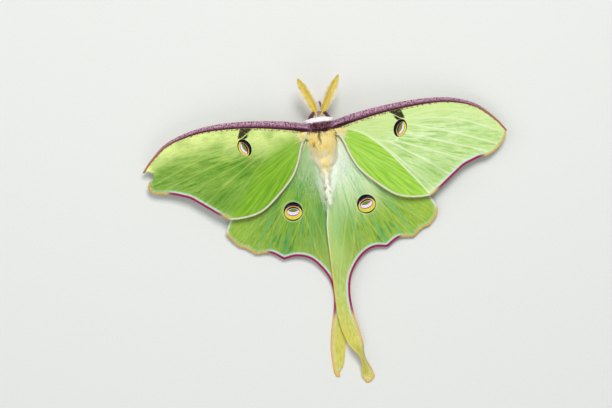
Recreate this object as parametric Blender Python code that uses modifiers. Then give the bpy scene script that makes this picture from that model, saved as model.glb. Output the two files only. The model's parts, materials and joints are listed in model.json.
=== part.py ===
"""Luna moth at life size, standing on its six feet with its wings spread.

Lengths are in millimetres in the moth's own frame: x to its right, y towards its head, z up
from the floor, with y = 0 between the forewing roots. place() turns them into metres about
the model's origin, which is on the floor under the middle of its outline.
"""

import functools
import math
import random

import bmesh
import bpy
from mathutils import Vector
from mathutils.geometry import delaunay_2d_cdt

MM = 0.001
SIDES = {"left": -1, "right": 1}
ORIGIN_BEHIND_ROOTS = 30.6
GAP = 0.3
SINK = 0.8

# Body: centres and half sizes of the cores that the coat grows from
THORAX_CENTRE = Vector((0, -3.0, 6.6))
THORAX_RADII = Vector((4.3, 4.4, 3.9))
SHOULDER_CENTRE = Vector((2.15, -0.7, 7.3))
SHOULDER_RADII = Vector((2.2, 2.0, 2.1))
HEAD_CENTRE = Vector((0, 2.3, 5.2))
HEAD_RADII = Vector((1.75, 1.5, 1.7))
EYE_CENTRE = Vector((1.6, 2.7, 4.85))
EYE_RADIUS = 0.78
ABDOMEN_START = -6.6
ABDOMEN_LENGTH = 14.4
ABDOMEN_RADIUS = 3.05
ABDOMEN_HEIGHTS = (5.0, 2.6)
ABDOMEN_SEGMENTS = 6
ABDOMEN_SIDES = 14

# Wings: thickness of the membrane, of a vein, of the costal rod and of the root
MEMBRANE = 0.5
VEIN = 0.85
COSTA = 1.5
THICKEST = 1.5
ROOT_THICKNESS = {"forewing": 1.2, "hindwing": 1.0}
VEIN_HALF_WIDTH = 0.5
COSTA_HALF_WIDTH = 1.0
ROOT_X = 2.7
ROOT_REACH = (14.0, -21.0)
# Where a wing is thick about its root: out from the body and towards the rear
ROOT_ZONE_OUT = (3.6, 6.5)
ROOT_ZONE_REAR = (-9.0, -6.5)
OUTLINE_STEP = 1.9
VEIN_STEP = 3.4
FILL_STEP = 4.4
# Least distances from a vein's points to those before them
VEIN_CLEAR = 0.3
RIDGE_CLEAR = 0.33

# The forewing's height at its root, its fall out to the tip, that fall's growth and its fall to the rear
FOREWING_ROOT_HEIGHT = 8.2
FOREWING_FALL = 0.045
FOREWING_CURVE = 0.0008
FOREWING_REAR_FALL = 0.058
# Where the costal rod thins towards the tip, and by how much
COSTA_THINS = (14, 50)
COSTA_THINNED = 0.75
FOREWING_COSTA = {
    "left": [(ROOT_X, 0.5), (10, 2.2), (20, 3.5), (29.5, 3.75), (37, 2.8), (44.5, 0.2), (49.5, -4.0),
             (52.4, -7.4)],
    "right": [(ROOT_X, 0.5), (10, 2.2), (20, 3.55), (30, 4.05), (38, 3.35), (45, 0.8), (50, -3.6),
              (53.1, -7.6)],
}
# The left forewing has lost a bite behind its tip
BITE = {"left": [(52.4, -7.4), (50.4, -7.2), (48.9, -8.3), (49.4, -9.7), (50.9, -10.3)], "right": []}
LOWER_MARGIN = [(47.2, -14.2), (44.5, -14.6), (42, -15.4), (39.5, -16.4), (37, -18.2), (34.6, -20.0),
                (32.2, -21.8), (29.0, -23.8)]
FOREWING_MARGIN = {
    "left": [(50.9, -10.3), (51.3, -11.8), (50.2, -13.4)] + LOWER_MARGIN,
    "right": [(53.1, -7.6), (52.2, -9.9), (50.3, -12.2)] + LOWER_MARGIN,
}
FOREWING_INNER = [(29.0, -23.8), (25.5, -23.9), (21, -23.2), (17.3, -21.3), (12.5, -17.1), (9.3, -13.6),
                  (7.2, -9.6), (6.0, -6.0), (4.6, -3.4), (ROOT_X, -2.4)]
FOREWING_VEINS = {
    "radius": [(3.2, -0.9), (12, 0.5), (22.2, -0.9)],
    "radius_4": [(22.2, -0.9), (34, 0.4), (46, -2.0)],
    "radius_5": [(22.2, -0.9), (38, -2.6), (51, -7.6)],
    "media_1": [(22.4, -2.0), (36, -6.0), (49.8, -11.2)],
    "media_2": [(22.6, -4.6), (34, -8.6), (46.6, -13.0)],
    "media_3": [(20.6, -6.9), (31, -11.0), (40.4, -14.6)],
    "cubitus_1": [(19.2, -7.2), (28, -13.0), (35.4, -18.2)],
    "cubitus_2": [(15.2, -6.1), (23, -14.0), (30.4, -21.8)],
    "cubitus": [(3.4, -1.6), (9.5, -4.0), (15.2, -6.1), (20.6, -6.9), (22.4, -3.9), (22.2, -0.9)],
    "anal": [(3.6, -1.9), (8.6, -7.6), (16, -16.0), (23.6, -22.6)],
}

HINDWING_LEADING = [(ROOT_X, -1.9), (6, -2.0), (9.5, -2.8), (13, -4.8), (18, -9.5), (23, -15.7), (27.2, -21.2),
                    (29.7, -25.2), (30.8, -27.6)]
HINDWING_SCALLOPS = {
    "left": [[(30.8, -27.6), (29.7, -29.3), (27.6, -31.7)], [(27.6, -31.7), (25.5, -32.6), (22.8, -34.6)],
             [(22.8, -34.6), (18.7, -34.7), (15.0, -37.0)]],
    "right": [[(30.8, -27.6), (30.2, -29.7), (27.9, -32.3)], [(27.9, -32.3), (25.6, -33.0), (22.9, -35.1)],
              [(22.9, -35.1), (18.7, -34.8), (15.0, -37.0)]],
}
TAIL_NOTCH = {
    "left": [(15.0, -37.0), (11.3, -36.5), (7.5, -37.7), (4.6, -40.8)],
    "right": [(15.0, -37.0), (11.3, -36.6), (8.0, -38.1), (5.3, -41.0)],
}
# Stations down each tail: distance behind the roots, centre and half width
TAILS = {
    "left": [(-44.5, 0.2, 2.4), (-49, -0.15, 2.15), (-54, 0.5, 2.25), (-59, 1.65, 2.35), (-63.5, 2.5, 2.2),
             (-67, 2.95, 1.9), (-69.5, 3.3, 1.5), (-71.3, 3.85, 0.8)],
    "right": [(-44.5, 0.85, 2.65), (-49, 0.5, 2.3), (-54, 0.65, 2.4), (-59, 1.5, 2.5), (-63.5, 2.65, 2.2),
              (-67, 3.95, 1.9), (-70.5, 4.7, 1.6), (-73.6, 5.05, 1.9)],
}
TAIL_ENDS = {"left": [(4.1, -72.4), (3.2, -72.6)], "right": [(5.9, -74.8), (4.4, -75.2)]}
# Inner margins from the tail back to the root; the right one lies over the left
INNER_MARGINS = {
    "left": [(-1.9, -38.0), (-0.9, -31.0), (0.4, -26.0), (1.1, -22.0), (1.75, -17.5), (2.5, -13.5),
             (3.2, -9.8), (3.5, -7.6), (3.1, -6.2), (ROOT_X, -5.4)],
    "right": [(-1.8, -38.0), (-1.75, -30.0), (-1.2, -25.5), (-0.2, -21.0), (0.9, -17.5), (2.2, -13.5),
              (3.2, -9.8), (3.5, -7.6), (3.1, -6.2), (ROOT_X, -5.4)],
}
HINDWING_VEINS = {
    "subcosta": [(3.4, -2.9), (12, -7.0), (22, -17.6), (29.0, -25.6)],
    "sector": [(8.6, -11.6), (19, -19.6), (29.6, -28.4)],
    "radius": [(3.4, -3.4), (8.6, -11.6), (13.2, -22.6)],
    "media_1": [(13.0, -21.2), (20, -25.6), (27.2, -31.4)],
    "media_2": [(13.2, -22.6), (17.6, -28.0), (22.3, -34.2)],
    "media_3": [(8.6, -25.4), (11.6, -31.0), (14.7, -36.0)],
    "cell_end": [(13.2, -22.6), (11.0, -24.6), (7.6, -24.8)],
    "cubitus": [(3.4, -4.2), (5.6, -14.0), (7.6, -24.8)],
    "cubitus_1": [(7.6, -24.8), (5.0, -36.5)],
    "cubitus_2": [(6.4, -18.6), (2.6, -34.0)],
}
TAIL_VEINS = {"cubitus_1": 0.5, "cubitus_2": -0.25}
TAIL_VEINS_FADE = (-50.0, -57.0)

# Heights of the hindwings along the body: distance behind the roots and height
HINDWING_SAG = [(0, 6.4), (-8, 6.35), (-16, 5.95), (-20, 5.4), (-26, 4.4), (-34, 3.1), (-42, 2.0), (-50, 1.05),
                (-57, 0.55), (-80, 0.55)]
WING_LAP = {"left": -0.3, "right": 0.9}
LAP_EDGE = (3.5, 10.0)
LAP_STARTS = (-14.0, -21.0)
LAP_ENDS = (-63.0, -68.5)
HINDWING_DROOP = 0.088
DROOP_FADES = (-38.0, -47.0)
# The right tail rolls on edge once near its end and lies flat again
TWIST_CENTRE = -67.6
TWIST_HALF_LENGTH = 6.0
TWIST_ANGLE = math.radians(66)

# Legs: hip, knee, ankle and toe, with the thickness at each
LEGS = {
    "front": {"left": [(1.5, -1.2, 4.4), (2.3, -0.1, 3.0), (3.1, 1.9, 3.7), (1.4, 4.1, 1.4), (0.45, 6.8, 0.25)],
              "right": [(1.5, -1.2, 4.4), (2.3, -0.1, 3.0), (2.9, 1.9, 3.7), (1.5, 4.1, 1.4), (0.7, 6.9, 0.25)]},
    "middle": [(1.9, -3.0, 4.2), (3.3, -3.2, 3.1), (6.0, -3.0, 4.3), (8.0, -1.8, 0.9), (10.2, -1.0, 0.25)],
    "hind": [(1.8, -4.9, 4.4), (3.0, -6.0, 3.2), (4.9, -8.0, 3.9), (6.8, -11.4, 0.9), (7.8, -13.8, 0.25)],
}
LEG_RADII = (0.62, 0.74, 0.6, 0.42, 0.32)
LEG_SWELL = 0.1
LEG_POINTS_A_SPAN = 3
FLOOR_SIZE = 0.08

# Antennae: base, middle and tip of each shaft, and the plume of side branches
ANTENNAE = {
    "left": [(0.6, 2.8, 6.2), (1.4, 5.9, 7.4), (2.9, 9.6, 8.4), (4.95, 14.0, 8.9)],
    "right": [(0.6, 2.8, 6.2), (2.2, 5.9, 7.4), (4.1, 9.4, 8.4), (6.9, 13.7, 8.9)],
}
SHAFT_RADII = (0.36, 0.26, 0.1)
BRANCH_PAIRS = 15
BRANCH_SPAN = (0.13, 0.94)
BRANCH_LENGTH = 2.5
BRANCH_SWEEP = math.radians(50)
OUTER_RISE = math.radians(8)
INNER_RISE = math.radians(45)
BRANCH_RADIUS = 0.27
BRANCH_BEND = 0.12
BRANCH_STAGGER = 0.25
# Along a branch: share of its length and of its thickness
BRANCH_RINGS = ((0.0, 1.0), (0.6, 0.8), (1.0, 0.25))

PALP = [(0.42, 2.4, 4.3), (0.5, 3.5, 3.75), (0.46, 4.35, 3.75)]
PALP_RADII = (0.42, 0.42, 0.22)

LOCK_THICKNESS = 0.55
LOCK_ARCH = 0.16
# Along a lock: share of its length, of its width and of its thickness
LOCK_RINGS = ((0.0, 0.8, 1.0), (0.35, 1.0, 0.9), (0.72, 0.7, 0.6), (1.0, 0.14, 0.2))
# Rows of hair down the face: height angle, count and spread, with each lock's length and width
FACE_ROWS = [(34, 4, 34), (6, 3, 26)]
FACE_LOCK = (1.25, 0.95)
# Rows of locks on the thorax: angle to the front, spread to each side, count, length, width and curl
COLLAR_PITCH = 35
THORAX_ROWS = [(44, 62, 9, 2.8, 1.5, -0.05), (27, 64, 8, 3.0, 1.7, 0.2), (9, 66, 10, 3.8, 1.6, 0.15),
               (-9, 64, 10, 4.4, 1.6, 0.1), (-27, 56, 9, 4.6, 1.5, 0.06), (-43, 38, 6, 4.2, 1.4, 0.0)]
# The collar on each shoulder: angle to the front, first turn, step of turn, count, length, width and curl
SHOULDER_ROW = (46, -6, 21, 4, 1.9, 1.3, 0.1)
# Locks on the abdomen's back: rows, locks a row, first row's place, step of row, step of turn in degrees
BACK_LOCKS = (5, 5, 0.18, 0.16, 24)
BACK_LOCK = {"length": 2.9, "width": 1.5, "curl": 0.1, "sink": 0.6}
END_LOCKS = 7
END_LOCK = {"length": 2.0, "width": 0.9, "curl": 0.3, "sink": 0.4}
SEED = 7

COLOURS = {
    "wing": (0.55, 0.74, 0.27),
    "coat": (0.93, 0.90, 0.80),
    "thorax": (0.86, 0.73, 0.42),
    "antenna": (0.87, 0.63, 0.20),
    "leg": (0.36, 0.11, 0.16),
    "eye": (0.07, 0.04, 0.03),
}


def place(point):
    return Vector((point[0], point[1] + ORIGIN_BEHIND_ROOTS, point[2])) * MM


def fade(value, start, end):
    """0 at start and 1 at end, smoothly, either way round."""
    t = min(1.0, max(0.0, (value - start) / (end - start)))
    return t * t * (3 - 2 * t)


def new_collection(name, shown=True):
    collection = bpy.data.collections.new(name)
    bpy.context.scene.collection.children.link(collection)
    collection.hide_render = not shown
    return collection


def material(name):
    made = bpy.data.materials.get(name) or bpy.data.materials.new(name)
    made.use_nodes = True
    shader = made.node_tree.nodes["Principled BSDF"]
    shader.inputs["Base Color"].default_value = (*COLOURS[name], 1)
    shader.inputs["Roughness"].default_value = 0.25 if name == "eye" else 0.7
    return made


def object_from(name, bm, collection, finish=None):
    bmesh.ops.recalc_face_normals(bm, faces=bm.faces)
    mesh = bpy.data.meshes.new(name)
    bm.to_mesh(mesh)
    bm.free()
    made = bpy.data.objects.new(name, mesh)
    collection.objects.link(made)
    if finish:
        mesh.materials.append(material(finish))
    return made


def evaluated_mesh(source):
    graph = bpy.context.evaluated_depsgraph_get()
    return bpy.data.meshes.new_from_object(source.evaluated_get(graph))


def along(points, step):
    """Points about a step apart on the smooth curve through the given ones."""
    ends = [Vector(p) for p in points]
    ends = [2 * ends[0] - ends[1], *ends, 2 * ends[-1] - ends[-2]]
    found = []
    for a, b, c, d in zip(ends, ends[1:], ends[2:], ends[3:]):
        count = max(1, round((c - b).length / step))
        for k in range(count):
            t = k / count
            found.append(0.5 * (2 * b + (c - a) * t + (2 * a - 5 * b + 4 * c - d) * t * t
                                + (3 * b - a - 3 * c + d) * t ** 3))
    return found + [ends[-2]]


def level(stations, y):
    """The value at y on the smooth line through (y, value) stations that run backwards."""
    for (y0, v0), (y1, v1) in zip(stations, stations[1:]):
        if y >= y1:
            return v0 + (v1 - v0) * min(1.0, max(0.0, (y - y0) / (y1 - y0)))
    return stations[-1][1]


def eased_level(stations, y, reach=3.0):
    return (level(stations, y + reach) + 2 * level(stations, y) + level(stations, y - reach)) / 4


def forewing_point(side, x, y):
    """The flat wing's point laid in place: the wing slopes gently down to its tip and its rear edge."""
    fall = FOREWING_FALL * x + FOREWING_CURVE * x * x + FOREWING_REAR_FALL * max(0.0, 1.0 - y)
    return x, y, FOREWING_ROOT_HEIGHT - fall


def hindwing_height(side, x, y):
    lap = WING_LAP[side] * (1 - fade(x, *LAP_EDGE)) * fade(y, *LAP_STARTS)
    droop = HINDWING_DROOP * max(0.0, x - 3) * (1 - fade(y, *DROOP_FADES))
    return eased_level(HINDWING_SAG, y) + lap - droop


def tail_centre(side, y):
    return level([(s[0], s[1]) for s in TAILS[side]], y)


def hindwing_point(side, x, y):
    """The flat wing's point laid in place, with the right tail's twist."""
    z = hindwing_height(side, x, y)
    if side == "left" or y > LAP_ENDS[0] + 3:
        return x, y, z
    reach = 1 - ((y - TWIST_CENTRE) / TWIST_HALF_LENGTH) ** 2
    roll = TWIST_ANGLE * max(0.0, reach) ** 2
    centre, half = tail_centre(side, y), level([(s[0], s[2]) for s in TAILS[side]], y)
    rest = MEMBRANE / 2
    z = rest + (z - rest) * (1 - fade(y, *LAP_ENDS)) + half * math.sin(roll) - (x - centre) * math.sin(roll)
    return centre + (x - centre) * math.cos(roll), y, z


def to_segment(p, a, b):
    along_it = b - a
    t = min(1.0, max(0.0, (p - a).dot(along_it) / max(along_it.length_squared, 1e-9)))
    return (p - a - along_it * t).length


def to_line(p, line):
    return min(to_segment(p, a, b) for a, b in zip(line, line[1:]))


def inside(p, loop):
    crossed = False
    for a, b in zip(loop, loop[1:] + loop[:1]):
        if (a.y > p.y) != (b.y > p.y) and p.x < a.x + (p.y - a.y) * (b.x - a.x) / (b.y - a.y):
            crossed = not crossed
    return crossed


def beside(line, distance):
    """The line moved sideways by distance."""
    moved = []
    for k, p in enumerate(line):
        course = (line[min(k + 1, len(line) - 1)] - line[max(k - 1, 0)]).normalized()
        moved.append(p + Vector((-course.y, course.x)) * distance)
    return moved


def forewing_outline(side):
    """The costa out to the tip, the bite if any, and the outer and inner margins."""
    loop = along(FOREWING_COSTA[side], OUTLINE_STEP)[:-1]
    loop += [Vector(p) for p in BITE[side][:-1]]
    loop += along(FOREWING_MARGIN[side], OUTLINE_STEP)[:-1]
    return loop + along(FOREWING_INNER, OUTLINE_STEP)


def hindwing_outline(side):
    outer = [(centre + half, y) for y, centre, half in TAILS[side]]
    inner = [(centre - half, y) for y, centre, half in reversed(TAILS[side])]
    loop = along(HINDWING_LEADING, OUTLINE_STEP)[:-1]
    for scallop in HINDWING_SCALLOPS[side]:
        loop += along(scallop, OUTLINE_STEP)[:-1]
    loop += along(TAIL_NOTCH[side] + outer, OUTLINE_STEP)
    loop += [Vector(p) for p in TAIL_ENDS[side]]
    return loop + along(inner + INNER_MARGINS[side], OUTLINE_STEP)


def forewing_lines(side):
    """Each vein of the forewing as a centre line, with its half width and thickness."""
    rod = beside(along(FOREWING_COSTA[side], VEIN_STEP), -COSTA_HALF_WIDTH)
    lines = [(rod[:-1], COSTA_HALF_WIDTH, COSTA)]
    return lines + [(along(v, VEIN_STEP), VEIN_HALF_WIDTH, VEIN) for v in FOREWING_VEINS.values()]


def hindwing_lines(side):
    lines = []
    for name, course in HINDWING_VEINS.items():
        if name in TAIL_VEINS:
            share = TAIL_VEINS[name]
            course = course + [(c + share * h, y) for y, c, h in TAILS[side]]
        lines.append((along(course, VEIN_STEP), VEIN_HALF_WIDTH, VEIN))
    return lines


def taper_of(kind, x, y):
    """How much of a vein's ridge is left at a point: the costa thins to the tip, tails go smooth."""
    if kind == "forewing":
        return 1 - COSTA_THINNED * fade(x, *COSTA_THINS)
    return 1 - fade(y, *TAIL_VEINS_FADE)


def net(outline, lines):
    """Triangles that fill an outline, with points along each line and its two edges."""
    points, edges = list(outline), [(k, (k + 1) % len(outline)) for k in range(len(outline))]
    rim = outline + outline[:1]

    def add(line, keep_off):
        last = None
        for p in line:
            clear = all((p - q).length > keep_off for q in points[len(outline):])
            if not (inside(p, outline) and to_line(p, rim) > keep_off and clear):
                last = None
                continue
            points.append(p)
            if last is not None:
                edges.append((last, len(points) - 1))
            last = len(points) - 1

    for line, _, _ in lines:
        add(line, VEIN_CLEAR)
    for line, half_width, _ in lines:
        add(beside(line, half_width), RIDGE_CLEAR)
        add(beside(line, -half_width), RIDGE_CLEAR)
    low = Vector((min(p.x for p in outline), min(p.y for p in outline)))
    high = Vector((max(p.x for p in outline), max(p.y for p in outline)))
    for row in range(int((high.y - low.y) / FILL_STEP) + 1):
        for column in range(int((high.x - low.x) / FILL_STEP) + 1):
            p = low + Vector((column + 0.5 * (row % 2), row)) * FILL_STEP
            if inside(p, outline) and min((p - q).length for q in points) > 0.45 * FILL_STEP:
                points.append(p)
    verts, _, faces, *_ = delaunay_2d_cdt(points, edges, [list(range(len(outline)))], 1, 1e-4)
    return verts, faces


def sheet(name, side, verts, faces, point_of, collection):
    """The flat net laid in place on one side of the body."""
    bm = bmesh.new()
    for v in verts:
        x, y, z = point_of(v.x, v.y)
        bm.verts.new(place((SIDES[side] * x, y, z)))
    bm.verts.ensure_lookup_table()
    for face in faces:
        corners = [bm.verts[i] for i in face]
        bm.faces.new(corners if side == "right" else corners[::-1])
    mesh = bpy.data.meshes.new(name)
    bm.to_mesh(mesh)
    bm.free()
    made = bpy.data.objects.new(name, mesh)
    collection.objects.link(made)
    return made


def wing(kind, side, outline, lines, point_of, collection):
    """A membrane with its veins raised on both faces: one net of triangles with Solidify."""
    verts, faces = net(outline, lines)
    made = sheet(f"{kind}_{side}", side, verts, faces, point_of, collection)
    made.data.materials.append(material("wing"))
    group = made.vertex_groups.new(name="thickness")
    thinnest = MEMBRANE / THICKEST
    for k, v in enumerate(verts):
        here = MEMBRANE
        for line, half_width, full in lines:
            ridge = max(0.0, 1 - to_line(v, line) / half_width)
            here = max(here, MEMBRANE + (full - MEMBRANE) * ridge * taper_of(kind, v.x, v.y))
        near_root = (1 - fade(v.x, *ROOT_ZONE_OUT)) * fade(v.y, *ROOT_ZONE_REAR)
        here = max(here, MEMBRANE + (ROOT_THICKNESS[kind] - MEMBRANE) * near_root)
        group.add([k], (here / THICKEST - thinnest) / (1 - thinnest), "REPLACE")
    shell = made.modifiers.new("Solidify", "SOLIDIFY")
    shell.thickness = THICKEST * MM
    shell.offset = 0
    shell.use_quality_normals = True
    shell.vertex_group = group.name
    shell.thickness_vertex_group = thinnest


def wing_room(kind, side, outline, point_of, collection):
    """The room a wing's root takes in the body, with the gap around it."""
    grown = beside(outline, GAP)
    near = [p for p in grown if p.x < ROOT_REACH[0] and p.y > ROOT_REACH[1]]
    corners = [Vector((ROOT_X - GAP, p.y)) for p in (near[0], near[-1])]
    verts, faces = net([corners[0], *near, corners[1]], [])
    cutter = sheet(f"room_{kind}_{side}", side, verts, faces, point_of, collection)
    shell = cutter.modifiers.new("Solidify", "SOLIDIFY")
    shell.thickness = (COSTA if kind == "forewing" else ROOT_THICKNESS[kind]) * MM + 2 * GAP * MM
    shell.offset = 0


def ellipsoid(name, centre, radii, collection, finish=None, segments=18, rings=12):
    bm = bmesh.new()
    bmesh.ops.create_uvsphere(bm, u_segments=segments, v_segments=rings, radius=1)
    for v in bm.verts:
        v.co = place(centre + Vector(v.co[i] * radii[i] for i in range(3)))
    return object_from(name, bm, collection, finish)


def skin(name, rings, collection, finish=None):
    """A closed form through rings of as many points each."""
    bm = bmesh.new()
    loops = [[bm.verts.new(place(p)) for p in ring] for ring in rings]
    count = len(loops[0])
    for low, high in zip(loops, loops[1:]):
        for k in range(count):
            bm.faces.new((low[k], low[(k + 1) % count], high[(k + 1) % count], high[k]))
    bm.faces.new(loops[0][::-1])
    bm.faces.new(loops[-1])
    return object_from(name, bm, collection, finish)


def lock(name, root, lie, up, length, width, collection, curl=0.2, sink=SINK, room=0.0):
    """A flat, tapered lock of the coat, from a root sunk in the core out to a fine tip.

    With room it is larger all round, to cut a neighbour clear of it.
    """
    lie = lie.normalized()
    across = lie.cross(up).normalized()
    over = across.cross(lie)
    rings = []
    for share, breadth, depth in LOCK_RINGS:
        rise = math.sin(share * math.pi * 0.6) * LOCK_ARCH - curl * share * share
        middle = root - over * (sink * (1 - share)) + lie * (length * share) + over * (length * rise)
        half = across * (width / 2 * breadth + 1.4 * room)
        deep = over * (LOCK_THICKNESS / 2 * depth + 1.4 * room)
        rings.append([middle + half, middle + deep, middle - half, middle - deep])
    rings[-1] = [corner + lie * room for corner in rings[-1]]
    return skin(name, rings, collection)


def on_ellipsoid(centre, radii, towards):
    """The point of the surface that lies in a direction, and the normal there."""
    towards = towards.normalized()
    scale = 1 / math.sqrt(sum((towards[i] / radii[i]) ** 2 for i in range(3)))
    offset = towards * scale
    return centre + offset, Vector(offset[i] / radii[i] ** 2 for i in range(3)).normalized()


def coat_lock(pieces, centre, radii, towards, lie, length, width, curl=0.2, room=0.0):
    point, normal = on_ellipsoid(centre, radii, towards)
    flat_lie = (lie - normal * lie.dot(normal)).normalized()
    name = f"{pieces.name}_{len(pieces.objects)}"
    lock(name, point, flat_lie, normal, length, width, pieces, curl, room=room)


def round_direction(across_deg, up_deg):
    """A direction from its angle round the long axis, 0 straight up, and its angle to the front."""
    turn, pitch = math.radians(across_deg), math.radians(up_deg)
    return Vector((math.sin(turn) * math.cos(pitch), math.sin(pitch), math.cos(turn) * math.cos(pitch)))


def join(base, pieces, cutters):
    """Fuses the pieces into the base, takes the cutters out of it and keeps its largest body."""
    steps = [("UNION", pieces)] if pieces.objects else []
    steps += [("DIFFERENCE", cutters)] if cutters.objects else []
    for operation, operands in steps:
        change = base.modifiers.new(operation, "BOOLEAN")
        change.operation = operation
        change.operand_type = "COLLECTION"
        change.collection = operands
        change.solver = "EXACT"
    fused = evaluated_mesh(base)
    base.modifiers.clear()
    base.data = fused
    keep_largest(fused)
    for piece in list(pieces.objects):
        bpy.data.objects.remove(piece)


def keep_largest(mesh):
    bm = bmesh.new()
    bm.from_mesh(mesh)
    left, bodies = set(bm.verts), []
    while left:
        body, edge = set(), [left.pop()]
        while edge:
            v = edge.pop()
            body.add(v)
            for e in v.link_edges:
                other = e.other_vert(v)
                if other in left:
                    left.remove(other)
                    edge.append(other)
        bodies.append(body)
    bodies.sort(key=len)
    for body in bodies[:-1]:
        bmesh.ops.delete(bm, geom=list(body), context="VERTS")
    bm.to_mesh(mesh)
    bm.free()


def tube(name, points, radii, collection, finish=None):
    """A round, tapered rod through points, as a closed mesh."""
    curve = bpy.data.curves.new(name, "CURVE")
    curve.dimensions = "3D"
    curve.bevel_depth = MM
    curve.bevel_resolution = 2
    curve.use_fill_caps = True
    spline = curve.splines.new("POLY")
    spline.points.add(len(points) - 1)
    for target, p, radius in zip(spline.points, points, radii):
        target.co = (*place(p), 1)
        target.radius = radius
    guide = bpy.data.objects.new(name, curve)
    collection.objects.link(guide)
    mesh = evaluated_mesh(guide)
    bpy.data.objects.remove(guide)
    bm = bmesh.new()
    bm.from_mesh(mesh)
    bmesh.ops.remove_doubles(bm, verts=bm.verts, dist=1e-6)
    return object_from(name, bm, collection, finish)


def leg_course(name, side):
    course = LEGS[name][side] if name == "front" else LEGS[name]
    hand = SIDES[side]
    joints = [Vector((hand * x, y, z)) for x, y, z in course]
    points, radii = [], []
    for (a, b), (r0, r1) in zip(zip(joints, joints[1:]), zip(LEG_RADII, LEG_RADII[1:])):
        for k in range(LEG_POINTS_A_SPAN):
            t = k / LEG_POINTS_A_SPAN
            swell = LEG_SWELL * math.sin(math.pi * t)
            points.append(a.lerp(b, t))
            radii.append(r0 + (r1 - r0) * t + swell)
    return points + [joints[-1]], radii + [LEG_RADII[-1]]


def leg(name, side, model, cutters, floor):
    points, radii = leg_course(name, side)
    made = tube(f"leg_{name}_{side}", points, radii, model, "leg")
    cut = made.modifiers.new("Floor", "BOOLEAN")
    cut.operation = "DIFFERENCE"
    cut.object = floor
    room = LEG_POINTS_A_SPAN + 2
    start = points[0] + (points[0] - points[1]).normalized() * GAP
    tube(f"room_leg_{name}_{side}", [start, *points[1:room]], [r + GAP for r in radii[:room]], cutters)


def along_course(course, at):
    """The point at a fractional place in a list of points."""
    low = min(int(at), len(course) - 2)
    return course[low].lerp(course[low + 1], at - low)


def antenna(side, model, cutters):
    """A shaft with a row of tapering branches on each side, as a feather."""
    hand = SIDES[side]
    course = along([(hand * x, y, z) for x, y, z in ANTENNAE[side]], 0.9)
    last = len(course) - 1
    base, full, tip = SHAFT_RADII
    radii = [base + (full - base) * k / (last - 1) for k in range(last)] + [tip]
    made = tube(f"antenna_{side}", course, radii, model, "antenna")
    start = course[0] + (course[0] - course[1]).normalized() * GAP
    tube(f"room_antenna_{side}", [start, *course[1:4]], [r + GAP for r in radii[:4]], cutters)

    pieces = new_collection(f"branches_{side}", False)
    for k in range(BRANCH_PAIRS):
        share = BRANCH_SPAN[0] + (BRANCH_SPAN[1] - BRANCH_SPAN[0]) * k / (BRANCH_PAIRS - 1)
        at = share * last
        low = min(int(at), last - 1)
        forward = (course[low + 1] - course[low]).normalized()
        outward = forward.cross(Vector((0, 0, 1))).normalized()
        above = outward.cross(forward)
        full = math.sin(math.pi * (0.16 + 0.80 * share ** 0.9)) ** 0.8
        for flank in (-1, 1):
            root = along_course(course, at + BRANCH_STAGGER * flank)
            rise = OUTER_RISE if flank == hand else INNER_RISE
            sideways = outward * (flank * math.cos(rise)) + above * math.sin(rise)
            lie = sideways * math.sin(BRANCH_SWEEP) + forward * math.cos(BRANCH_SWEEP)
            branch(pieces, root, lie, sideways, forward, BRANCH_LENGTH * full)
    join(made, pieces, new_collection(f"nothing_{side}", False))


def branch(pieces, root, lie, sideways, forward, length):
    """A four-sided spine that bends a little towards the shaft's tip."""
    across = lie.cross(sideways.cross(forward)).normalized()
    over = across.cross(lie)
    rings = []
    for share, thick in BRANCH_RINGS:
        middle = root + lie * (length * share) + forward * (BRANCH_BEND * length * share * share)
        side, top = across * (BRANCH_RADIUS * thick), over * (BRANCH_RADIUS * thick)
        rings.append([middle + side, middle + top, middle - side, middle - top])
    skin(f"branch_{len(pieces.objects)}", rings, pieces)


def thorax(model, cutters, abdomen_room, head_room, rng):
    """The thorax with long hair swept back over the abdomen and a collar over the head."""
    made = ellipsoid("thorax", THORAX_CENTRE, THORAX_RADII, model, "thorax")
    pieces = new_collection("thorax_locks", False)
    back, ahead = Vector((0, -1, -0.1)), Vector((0, 1, 0.1))
    for hand in (-1, 1):
        shoulder = Vector((hand * SHOULDER_CENTRE.x, SHOULDER_CENTRE.y, SHOULDER_CENTRE.z))
        ellipsoid(f"shoulder_{hand}", shoulder, SHOULDER_RADII, pieces, segments=12, rings=8)
        pitch, first, step, count, length, width, curl = SHOULDER_ROW
        for k in range(count):
            towards, grown = round_direction(hand * (first + step * k), pitch), length * rng.uniform(0.9, 1.1)
            for pile, room in ((pieces, 0), (head_room, GAP)):
                coat_lock(pile, shoulder, SHOULDER_RADII, towards, ahead, grown, width, curl, room)
    for pitch, spread, count, length, width, curl in THORAX_ROWS:
        for k in range(count):
            turn = spread * (2 * (k + 0.5) / count - 1)
            lean = Vector((0.3 * math.sin(math.radians(turn)), 0, 0))
            towards, grown = round_direction(turn, pitch), length * rng.uniform(0.9, 1.1)
            lie, neighbour = (ahead, head_room) if pitch > COLLAR_PITCH else (back + lean, abdomen_room)
            for pile, room in ((pieces, 0), (neighbour, GAP)):
                coat_lock(pile, THORAX_CENTRE, THORAX_RADII, towards, lie, grown, width, curl, room)
    join(made, pieces, cutters)


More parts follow.
